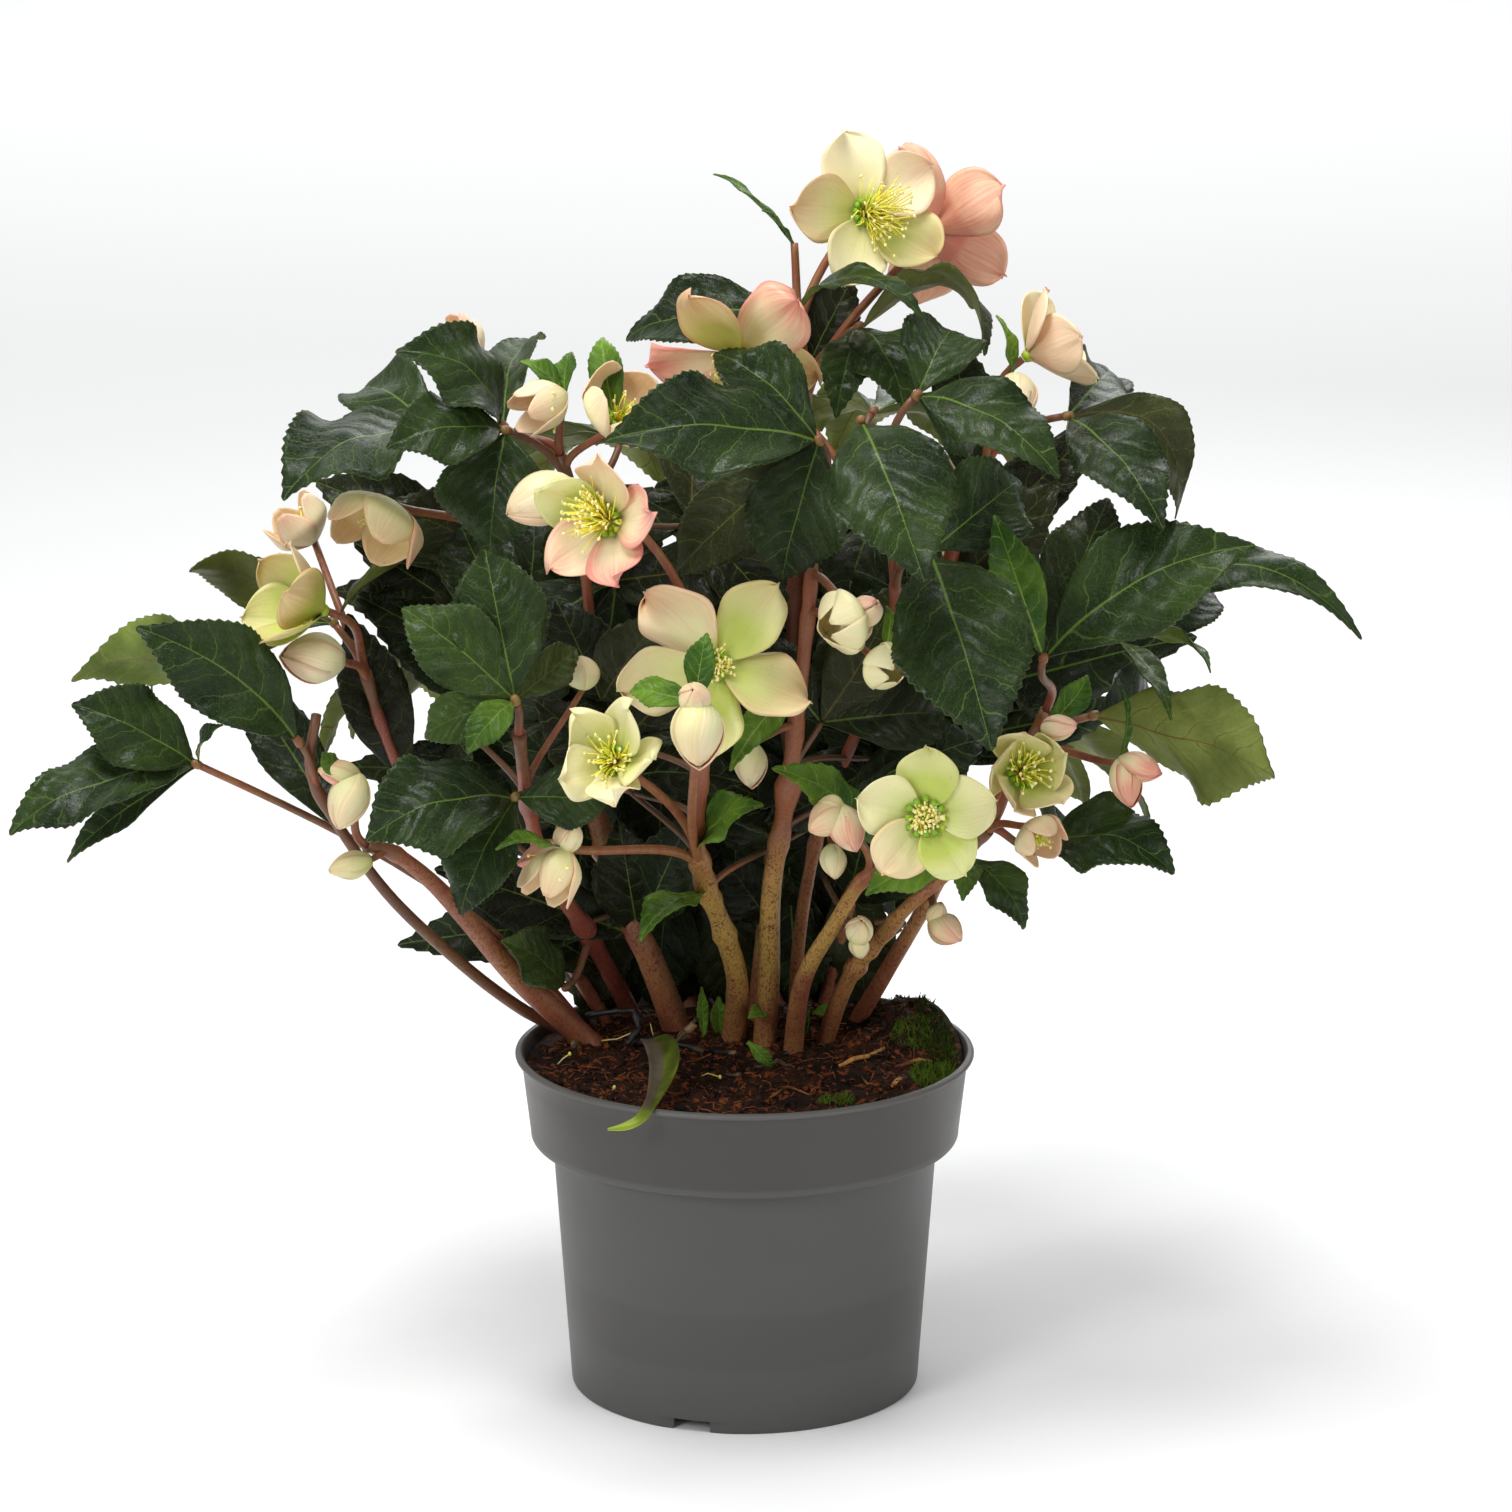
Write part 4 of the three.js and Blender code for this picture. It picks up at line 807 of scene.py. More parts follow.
def leaf_veins():
    """A node group: the veins of a leaflet, read from its UV map in lengths of the leaflet."""
    group = bpy.data.node_groups.new("leaf veins", "ShaderNodeTree")
    for name in ("Midrib", "Side Veins", "Net", "Quilting"):
        group.interface.new_socket(name, in_out="OUTPUT", socket_type="NodeSocketFloat")
    out = node(group, "NodeGroupOutput")
    flat = node(group, "ShaderNodeUVMap").outputs[0]
    wobble = noise(group, flat, 6, detail=3)
    bent = node(group, "ShaderNodeVectorMath", {0: flat, 1: wobble}, operation="ADD").outputs[0]
    parts = split(group, flat)
    across = calc(group, "SUBTRACT", parts[0], 0.5)
    away, t = calc(group, "ABSOLUTE", across), parts[1]
    width = between(group, t, 0, 1, 0.009, 0.002)
    feed(group, out.inputs["Midrib"], between(group, calc(group, "DIVIDE", away, width), 1.0, 0.4))
    # Side veins bend forward on their way out, turn by turn on both sides, and fork at the rim.
    forward = times(group, away, calc(group, "MULTIPLY_ADD", away, 1.9, 0.7))
    offset = times(group, calc(group, "GREATER_THAN", across, 0), 0.45)
    count = calc(group, "MULTIPLY_ADD", calc(group, "SUBTRACT", t, forward), 6.6, offset)
    count = calc(group, "MULTIPLY_ADD", wobble, 1.1, count)
    fold = calc(group, "PINGPONG", count, 0.5)
    thin = between(group, away, 0, 0.24, 0.05, 0.014)
    main = between(group, calc(group, "DIVIDE", fold, thin), 1.0, 0.35)
    forks = calc(group, "MULTIPLY_ADD", away, 3.4, times(group, count, 2))
    forks = between(group, calc(group, "PINGPONG", forks, 0.5), 0.05, 0.015)
    forks = times(group, forks, between(group, away, 0.05, 0.1, 0, 0.35))
    feed(group, out.inputs["Side Veins"], calc(group, "MAXIMUM", main, forks))
    cells = node(group, "ShaderNodeTexVoronoi", {"Vector": bent, "Scale": 34},
                 feature="DISTANCE_TO_EDGE").outputs["Distance"]
    feed(group, out.inputs["Net"], between(group, cells, 0.09, 0.02))
    feed(group, out.inputs["Quilting"], between(group, fold, 0, 0.45))
    return group


veins_group = leaf_veins()


def leaf_face(name, dark, light, vein, rib_colour, vein_share, sunk, rough):
    """The finish of one face of a leaf."""
    finish, tree, shader = material(name, specular_ior_level=0.2)
    veins = node(tree, "ShaderNodeGroup", node_tree=veins_group)
    rib, sides, net, quilt = (veins.outputs[i] for i in range(4))
    young, faded, rim, deep = (mark(tree, one) for one in LEAF_MARKS)
    place = object_place(tree)
    clouds = noise(tree, place, 30, detail=4)
    ripples = noise(tree, place, 85, detail=3)
    specks = noise(tree, place, 700, detail=2)
    base = mix(tree, between(tree, clouds, 0.32, 0.7), dark, light)
    fresh = mix(tree, between(tree, clouds, 0.3, 0.7), shade(34, 80, 14), shade(118, 158, 46))
    base = mix(tree, young, base, fresh)
    base = mix(tree, faded, base, mix(tree, clouds, shade(44, 42, 22), shade(74, 74, 36)))
    # Leaflets inside the plant are painted near black: a painted shade for the dark heart of the plant.
    base = mix(tree, deep, base, mix(tree, clouds, shade(6, 11, 7), shade(30, 27, 17)))
    line = mix(tree, young, vein, shade(168, 192, 88))
    base = mix(tree, times(tree, net, 0.3 * vein_share), base, line)
    base = mix(tree, times(tree, quilt, 0.12), base, (0, 0, 0, 1))
    strength = times(tree, sides, between(tree, ripples, 0.3, 0.65, 0.35, 1))
    base = mix(tree, times(tree, strength, vein_share), base, line)
    ribs = mix(tree, faded, mix(tree, young, rib_colour, line), shade(96, 60, 40))
    base = mix(tree, times(tree, rib, 0.7), base, ribs)
    base = mix(tree, between(tree, rim, 0.86, 1.0, 0, 0.45), base, shade(78, 92, 48))
    blots = noise(tree, place, 120, detail=4, roughness=0.7)
    base = mix(tree, between(tree, blots, 0.71, 0.77, 0, 0.5), base, shade(52, 42, 26))
    height = calc(tree, "MULTIPLY_ADD", quilt, 0.5, times(tree, specks, 0.1))
    height = calc(tree, "MULTIPLY_ADD", ripples, 0.4, height)
    height = calc(tree, "SUBTRACT", height, times(tree, net, 0.14 * sunk))
    height = calc(tree, "SUBTRACT", height, times(tree, sides, 0.28 * sunk))
    coat(tree, shader, base, height, 0.6, 0.0011, between(tree, ripples, 0.3, 0.7, rough, rough + 0.14))
    return finish


leaf_top = leaf_face("leaf_top", shade(14, 26, 11), shade(36, 52, 22), shade(98, 124, 56),
                     shade(104, 134, 52), 0.45, 1, 0.22)
leaf_under = leaf_face("leaf_under", shade(98, 112, 46), shade(144, 156, 78), shade(96, 50, 34),
                       shade(110, 56, 40), 0.7, -1, 0.46)


def thicken(made, thickness):
    """Gives a sheet its thickness, downwards, with the second finish on its underside."""
    step = made.modifiers.new("thickness", "SOLIDIFY")
    step.thickness = thickness * MM
    step.offset = -1
    step.material_offset = 1
    step.material_offset_rim = 0


def leaf_heading(stem, share, hub, leaflets):
    """A leaf stalk comes in half along its way and half towards the leaflets."""
    middle = sum((Vector(row[0]) for row in leaflets), Vector()) / len(leaflets)
    way = (hub - curves[stem].at(share)).normalized()
    return (way + (middle - hub).normalized() * 0.5).normalized()


def bearing_way(degrees):
    """The level way at a bearing in degrees."""
    return Vector((math.cos(math.radians(degrees)), math.sin(math.radians(degrees)), 0))


HIGH_HUB = 350
HIGH_DROOP = 0.34
LOW_DROOP = 0.5


def back_leaf(stem, share, bearing, distance, height, reach):
    """A leaf at the back as a row of LEAVES: five leaflets spread like a hand."""
    hub = bearing_way(bearing) * distance + Vector((0, 0, height))
    drop = HIGH_DROOP if height > HIGH_HUB else LOW_DROOP
    leaflets = []
    for i, (spread, portion) in enumerate(HAND):
        length = reach * portion
        tip = hub + bearing_way(bearing + spread) * length * 0.86 - Vector((0, 0, length * drop))
        leaflets.append((tip, 0.4 * length + 3 * math.cos(2 * i), 0.16 * length, OUTWARD))
    return stem, share, hub, leaflets


leaf_rows = LEAVES + [back_leaf(*row) for row in BACK_LEAVES]
leaf_names = [f"leaf_{number:02d}" for number in range(1, len(leaf_rows) + 1)]
# Every stalk that leaves a stem: stem, share up it, end, heading, radius, how dark.
stalks = []
hubs = new_shape("young")
for number, (stem, share, hub, leaflets) in enumerate(leaf_rows, 1):
    hub = Vector(hub)
    heading = leaf_heading(stem, share, hub, leaflets)
    stalks.append((stem, share, hub - heading * (HUB_LENGTH / 2 + 0.3), heading, 1.5, 0.55))
    ends = [hub + heading * step for step in (-2.3, -1.6, 0, 1.6, 2.2)]
    rod(hubs, ends, [1.5, 1.9, HUB_RADIUS, 1.6, 0.9], STALK_SIDES, young=0.7)
    shape = new_shape(*LEAF_MARKS)
    for i, (tip, width, arch, face, *bow) in enumerate(leaflets):
        foot = hub + (Vector(tip) - hub).normalized() * 0.9
        young, faded = TINTS[number][i] if number in TINTS else OTHER_LEAFLET
        leaflet(shape, foot, tip, width, arch, face, i, young, faded, sum(bow),
                teeth=26 if width > WIDE_LEAFLET else 16)
    name = leaf_names[number - 1]
    thicken(piece(name + "_blade", shape, [leaf_top, leaf_under], "leaf", name), BLADE)

# More leaves of the same kind fill the shaded heart of the plant, three leaflets on each short stalk,
# with the inner leaflets' painted shade. They stay inside the outline, behind the leaves and flowers at
# the front.
HEART_STEMS = (4, 5, 6, 7, 8, 12, 13, 14, 10)
HEART_LEAVES = 40
HEART_LEAFLETS = 3
HEART_TRIES = 12
HEART_MIDDLE = Vector((5, 20, 318))
HEART_REACH = Vector((150, 95, 108))
HEART_FRONT = -62
# Below this height, leaflets stay this far back, so that the stems in front stand bare.
BARE_STEMS = 252
BARE_BACK = 34


def in_heart(point):
    """Whether a point lies inside the dark heart of the plant."""
    off = point - HEART_MIDDLE
    return sum((off[i] / HEART_REACH[i]) ** 2 for i in range(3)) < 1 and point.y > HEART_FRONT


draw = random.Random(21)
for i in range(HEART_LEAVES):
    stem = HEART_STEMS[i % len(HEART_STEMS)]
    share = draw.uniform(0.34, 0.9)
    start = curves[stem].at(share)
    off = Vector((draw.uniform(-45, 45), draw.uniform(-10, 55), draw.uniform(-5, 35)))
    hub = start + off
    if not in_heart(hub):
        hub = start + off * 0.4
    stalks.append((stem, share, hub, off.normalized(), 1.2, 0.9))
    for _ in range(HEART_LEAFLETS):
        for _ in range(HEART_TRIES):
            way = Vector((draw.uniform(-1, 1), draw.uniform(-0.8, 0.6), draw.uniform(-0.9, 0.8)))
            way.normalize()
            length = draw.uniform(52, 76)
            tip = hub + way * length
            if in_heart(tip):
                face = (draw.uniform(-0.3, 0.3), -0.8, draw.uniform(0.1, 0.7))
                middle = hub + way * length * 0.5
                if middle.z > BARE_STEMS or middle.y > BARE_BACK:
                    INNER_LEAFLETS.append((stem, tuple(hub), tip, 0.48 * length, 9, face))
                break

for title, rows, youth, usual in (("bracts", BRACTS, 0.9, OUTWARD),
                                  ("inner_leaflets", INNER_LEAFLETS, 0.0, FRONT)):
    shape = new_shape(*LEAF_MARKS)
    for i, (stem, foot, tip, width, arch, *face) in enumerate(rows):
        face = face[0] if face else usual
        foot = Vector(foot) if isinstance(foot, tuple) else curves[stem].at(foot)
        faded = 0 if youth else (0, 0, 0.25, 0.7)[i % 4]
        # The inner leaflets take painted shade, every third one darker still; the bracts take none.
        deep = 0 if youth else 0.5 + 0.45 * (i % 3 == 0)
        leaflet(shape, foot, tip, width, arch, face, i, youth, faded, deep=deep, across=10, teeth=14)
    stems = map(stem_name, sorted({row[0] for row in rows}))
    thicken(piece(title, shape, [leaf_top, leaf_under], "leaf", *stems), BLADE)

# ---- Flowers -------------------------------------------------------------------------------
# Each open flower has five broad overlapping sepals, a ring of green nectaries and a boss of
# pale yellow stamens round a few styles. They are cream to pink, greener at the heart.
SEPAL_CURL = 0.3
SEPAL_LAP = 0.26
SEAT_RADIUS = 2.2
SEAT_BACK = 3.0
PETAL = 0.45
# Flowers in the order of their numbers: stem, share up it, centre, the way it looks, sepal
# length, lean of the sepals at their foot and tip, turn of the first sepal, sepal width and
# stamen reach over the length, the waves of the sepals' edge, and how pink and how green each
# sepal is, in order.
BLOOMS = [
    (13, 1, (48, -2, 489), (0.25, -0.93, 0.28), 31, 72, 84, 110, 0.86, 0.62, 0.05,
        ((0.05, 0.15), (0.6, 0.8), (0.1, 0.45), (0.55, 1.2), (0.4, 0.05))),
    (13, 0.9, (75, 22, 478), (0.3, 0.88, 0.25), 33, 74, 88, -40, 0.8, 0.36, 0.06,
        ((1.0, 0.2), (1.0, 0.1), (1.05, 0.3), (0.95, 0.1), (1.0, 0.2))),
    (13, 0.8, (-3, -52, 440), (0.05, -0.8, -0.58), 34, 88, 104, 120, 0.78, 0.36, 0.1,
        ((1.0, 1.4), (1.3, 0.2), (1.0, 1.0), (0.9, 1.4), (1.2, 0.6))),
    (7, 1, (-51, -110, 385), (-0.45, -0.85, 0.12), 28, 74, 34, 80, 0.86, 0.62, 0.05,
        ((0.5, 0.15), (0.1, 1.5), (0.8, 0.1), (1.4, 0.1), (1.1, 0.0))),
    (7, 0.97, (-11, -102, 327), (0.05, -0.96, 0.25), 36, 80, 94, 126, 0.7, 0.2, 0.13,
        ((0.6, 0.35), (0.3, 0.7), (0.1, 1.4), (0.65, 0.9), (0.4, 1.3))),
    (7, 0.6, (-49, -129, 295), (-0.25, -0.85, 0.42), 24, 60, 24, 62, 0.86, 0.5, 0.08,
        ((0.05, 0.8), (0.05, 1.0), (0.1, 0.6), (0.1, 0.4), (0.05, 0.9))),
    (9, 1, (70, -112, 269), (0.05, -0.97, 0.2), 26, 64, 84, 90, 0.93, 0.24, 0.06,
        ((0.0, 1.6), (0.05, 0.8), (0.5, 0.6), (0.0, 1.7), (0.05, 0.9))),
    (10, 1, (108, -86, 280), (0.25, -0.93, 0.25), 21, 78, -4, 100, 1.08, 0.6, 0.03,
        ((0.3, 1.1), (0.5, 0.9), (0.6, 0.7), (0.4, 1.0), (0.2, 1.3))),
    (3, 1, (-167, -54, 339), (-0.86, -0.35, 0.38), 30, 58, 16, 40, 0.86, 0.36, 0.02,
        ((0.5, 0.6), (0.6, 1.3), (0.35, 1.6), (0.6, 1.5), (0.9, 1.3))),
    (14, 0.98, (113, -26, 436), (0.8, 0.1, 0.5), 27, 60, 32, -5, 0.86, 0.36, 0.03,
        ((0.2, 0.1), (0.1, 0.2), (0.1, 0.2), (0.5, 0.1), (0.55, 0.1))),
    (15, 0.8, (-98, 136, 324), (-0.3, 0.85, 0.3), 30, 72, 84, 20, 0.86, 0.36, 0.04,
        ((0.3, 0.5), (0.2, 0.4), (0.5, 0.3), (0.3, 0.7), (0.4, 0.3))),
    (16, 0.8, (94, 136, 336), (0.35, 0.85, 0.3), 30, 70, 80, 50, 0.86, 0.36, 0.04,
        ((0.1, 0.4), (0.3, 0.5), (0.1, 0.3), (0.2, 0.6), (0.1, 0.3))),
]
FIRST_SEED = 4
OWN_BOSS = (1, 4, 5, 7)
STAMENS = 84
SMALL_FLOWER = 25
GOLDEN_ANGLE = 2.39996
HEADED = 0.75
# Which way the stamens of some flowers have blown.
DRIFTS = {1: (0.5, 0, -0.2), 4: (-0.45, 0, 0.35), 8: (0.2, 0, 0.3)}
NECTARIES = 12
USUAL_CUPS = 4.6
OPEN_CUPS = 7
OPEN_FLOWER = 7
STYLES = 4


def petal_face(name, outer):
    """The finish of a sepal's inner or outer face: cream, veined, blushed towards its edge."""
    finish, tree, shader = material(name, subsurface_weight=0.15, subsurface_scale=0.002)
    pink, green = mark(tree, "pink"), mark(tree, "green")
    flat = node(tree, "ShaderNodeUVMap").outputs[0]
    parts = split(tree, flat)
    across = calc(tree, "ABSOLUTE", calc(tree, "MULTIPLY_ADD", parts[0], 2, -1))
    t = parts[1]
    place = object_place(tree)
    clouds = noise(tree, place, 55, detail=3)
    drawn_out = node(tree, "ShaderNodeMapping", {"Vector": flat, "Scale": (22, 1.6, 1)}).outputs[0]
    rays = noise(tree, drawn_out, 1, detail=3)
    base = mix(tree, clouds, shade(240, 225, 174), shade(250, 241, 208))
    # Pink spreads from the edge on the inner face and from the foot on the outer one.
    blush = mix(tree, clouds, shade(218, 108, 104), shade(238, 162, 148))
    heart = times(tree, between(tree, t, 0.85, 0.1), between(tree, across, 1.0, 0.2, 0.45, 1))
    edge = between(tree, calc(tree, "MAXIMUM", across, t), 0.35, 1.0)
    shares = (0.86, -0.24) if outer else (0.12, 0.68)
    blushed = times(tree, pink, calc(tree, "MULTIPLY_ADD", edge, shares[1], shares[0]))
    blushed = times(tree, blushed, between(tree, rays, 0.3, 0.7, 0.7, 1.1))
    if outer:
        blush = mix(tree, between(tree, pink, 1.2, 1.6, 0, 0.85), blush, shade(164, 56, 62))
        foot_flush = times(tree, between(tree, t, 0.62, 0.28), calc(tree, "MINIMUM", pink, 1))
        blushed = calc(tree, "MAXIMUM", blushed, foot_flush)
    base = mix(tree, calc(tree, "MINIMUM", blushed, 0.96), base, blush)
    # Green spreads from the heart of the flower.
    greening = times(tree, green, calc(tree, "MULTIPLY_ADD", heart, 0.7, 0.34))
    if not outer:
        greening = calc(tree, "MAXIMUM", greening, between(tree, t, 0.34, 0.06, 0, 0.8))
    leafy = mix(tree, clouds, shade(158, 180, 50), shade(202, 214, 98))
    leafy = mix(tree, between(tree, pink, 0.7, 1.3, 0, 0.7), leafy, shade(146, 128, 70))
    base = mix(tree, calc(tree, "MINIMUM", greening, 0.94), base, leafy)
    lines = between(tree, rays, 0.56, 0.66, 0, 0.12)
    base = mix(tree, lines, base, mix(tree, pink, shade(206, 202, 128), shade(196, 98, 88)))
    rim = between(tree, calc(tree, "MAXIMUM", across, t), 0.94, 1.0, 0, 0.3)
    rim = times(tree, rim, calc(tree, "MINIMUM", pink, 1))
    base = mix(tree, rim, base, shade(206, 104, 104))
    freckles = between(tree, noise(tree, place, 420, detail=2), 0.68, 0.74, 0, 0.4 if outer else 0.1)
    base = mix(tree, times(tree, freckles, green), base, shade(120, 90, 44))
    fine = times(tree, noise(tree, place, 500), 0.25)
    height = calc(tree, "ADD", times(tree, rays, 0.8), fine)
    coat(tree, shader, base, height, 0.4, 0.0007, between(tree, clouds, 0.3, 0.7, 0.42, 0.56))
    return finish


petal_inner = petal_face("petal_inner", False)
petal_outer = petal_face("petal_outer", True)


def flower_ways(axis):
    """Two ways square to a flower's axis."""
    right = (Vector((1, 0, 0)) - axis * axis.x).normalized()
    return right, axis.cross(right)


def sepal(shape, centre, axis, out, length, foot_lean, tip_lean, width, frill, draw, pink, green):
    """One sepal: rounded, widest past the middle, with a small point, curling in at both sides."""
    sideways = out.cross(axis)
    length *= draw.uniform(0.96, 1.03)
    tip_lean += draw.uniform(-4, 4)
    phase = draw.uniform(0, 6)
    frill *= draw.uniform(0.7, 1.3)
    sway = draw.uniform(-1, 1) * frill
    twist, roll = draw.choice((-1, 1)) * draw.uniform(0.8, 2.2) * frill, draw.uniform(-4, 4) * frill

    def lay(u, share):
        t = 1 - (1 - share) ** 1.4
        middle = math.radians(foot_lean + (tip_lean - foot_lean) * 0.5 * t)
        lean = math.radians(foot_lean + (tip_lean - foot_lean) * t)
        inner = axis * math.sin(lean) - out * math.cos(lean)
        swell = max(0, math.sin(math.pi * t ** 1.3)) ** 0.55
        ragged = 1 + 0.9 * frill * math.sin(10 * t + phase + (2 if u > 0 else 0)) * t
        half = max(0.5 * width * length * swell * ragged, 1.2 if t < 0.5 else 0.2)
        # How far a point stands in from the sepal's plane: curl, lap, waves, twist and roll.
        dish = half * (SEPAL_CURL * u * u + SEPAL_LAP * u)
        dish += length * frill * math.sin(3.2 * u + 5 * t + phase) * t * (0.4 + abs(u))
        dish += length * t * (twist * u + 0.35 * frill * u * u * math.sin(11 * t + 2.5 * u + phase))
        dish += length * roll * max(0, t - 0.6) ** 2
        dish -= half * 5 * frill * max(0, abs(u) - 0.4) ** 1.5 * t
        dish -= 0.4 * math.exp(-(u * half / 1.1) ** 2)
        # The small point at the tip.
        t += 0.045 * math.exp(-(u / 0.22) ** 2) * max(0, t - 0.9) / 0.1
        place = centre + out * (SEAT_RADIUS + length * t * math.sin(middle))
        place += axis * length * t * math.cos(middle) + inner * dish
        place += sideways * (u * half + length * sway * t * t)
        return place * MM, (u / 2 + 0.5, t)

    marked(shape, sheet(shape, 14, 18, lay), pink=pink, green=green)


stamen_yellow, tree, shader = material("stamen_yellow", roughness=0.5)
ripe = mark(tree, "ripe")
grain = noise(tree, object_place(tree), 900, detail=3)
colour = mix(tree, grain, shade(236, 222, 130), shade(252, 244, 186))
colour = mix(tree, between(tree, ripe, 0, 0.5), colour, shade(252, 240, 84))
leafy = mix(tree, grain, shade(96, 156, 20), shade(158, 198, 48))
colour = mix(tree, between(tree, ripe, 0.5, 1), colour, leafy)
coat(tree, shader, colour, grain, 0.5, 0.0003)


def heart_of_flower(shape, foot, axis, reach, cups, draw, count, drift=Vector()):
    """Green nectary cups, stamens with their anthers, and styles, on the seat of a flower."""
    right, above = flower_ways(axis)

    def out_way(bearing, spread):
        out = right * math.cos(bearing) + above * math.sin(bearing)
        return axis * math.cos(spread) + out * math.sin(spread)

    def part(points, radii, sides, ripeness):
        rod(shape, points, radii, sides, ripe=ripeness)

    for i in range(NECTARIES):
        way = out_way(math.tau * i / NECTARIES, draw.uniform(0.85, 1.1))
        start = foot + (way - axis * way.dot(axis)) * 2.4
        part([start, start + way * cups * 0.6, start + way * cups], [0.6, 0.95, 1.25], 7, 1.0)
    for i in range(STYLES):
        start = foot + out_way(1.5 * i + 0.4, 1.57) * 0.7
        end = start + out_way(1.5 * i + 0.4, 0.14) * reach * 0.95
        part([start, start + axis * reach * 0.5, end], [0.7, 0.45, 0.25], 6, 0.8)
    for i in range(count):
        spread = 1.05 * math.sqrt((i + 0.5) / count) * draw.uniform(0.8, 1.15)
        bearing = i * GOLDEN_ANGLE + draw.uniform(-0.25, 0.25)
        way = (out_way(bearing, spread) + drift).normalized()
        length = reach * draw.uniform(0.62, 1.1)
        start = foot + (way - axis * way.dot(axis)) * 1.4
        bow = out_way(bearing + draw.choice((-1.5, 1.5)), 1.2) * length * 0.1
        end = start + way * length
        part([start, start + way * length * 0.5 + bow, end], [0.36, 0.32, 0.24], 3, 0.5)
        if draw.random() < HEADED:
            head = bmesh.ops.create_icosphere(shape, subdivisions=1, radius=0.68 * MM)["verts"]
            bmesh.ops.scale(shape, verts=head, vec=(1, 0.75, 1.4))
            turn = Matrix.Rotation(draw.uniform(0, 3), 3, draw.choice("XYZ"))
            bmesh.ops.rotate(shape, verts=head, matrix=turn)
            bmesh.ops.translate(shape, verts=head, vec=end * MM)


for number, row in enumerate(BLOOMS, 1):
    name = f"bloom_{number:02d}"
    draw = random.Random(FIRST_SEED + number)
    stem, share, centre, way, length, foot_lean, tip_lean, turn, width, reach, frill, tones = row
    centre, axis = Vector(centre), Vector(way).normalized()
    right, above = flower_ways(axis)
    stalks.append((stem, share, centre - axis * (SEAT_BACK + 0.3), axis, 1.6, 0))
    shape = new_shape("pink", "green")
    for i, (pink, green) in enumerate(tones):
        bearing = math.radians(turn + 72 * i)
        out = right * math.cos(bearing) + above * math.sin(bearing)
        sepal(shape, centre, axis, out, length, foot_lean, tip_lean, width, frill, draw, pink, green)
    thicken(piece(name + "_sepals", shape, [petal_inner, petal_outer], "petal", name), PETAL)
    shape = new_shape("ripe")
    seat = [centre + axis * step for step in (-SEAT_BACK, -1.5, 0, 1.2, 1.9)]
    rod(shape, seat, [1.8, 2.6, 3.0, 2.4, 1.0], 12, ripe=0.85)
    cups = OPEN_CUPS if number == OPEN_FLOWER else USUAL_CUPS
    count = STAMENS if length > SMALL_FLOWER else STAMENS // 2
    drift = Vector(DRIFTS.get(number, (0, 0, 0)))
    heart_of_flower(shape, centre + axis * 1.3, axis, length * reach, cups, draw, count, drift)
    nodes = [name, f"boss_{number:02d}"] if number in OWN_BOSS else [name]
    piece(name + "_stamens", shape, [stamen_yellow], "stamen", *nodes)

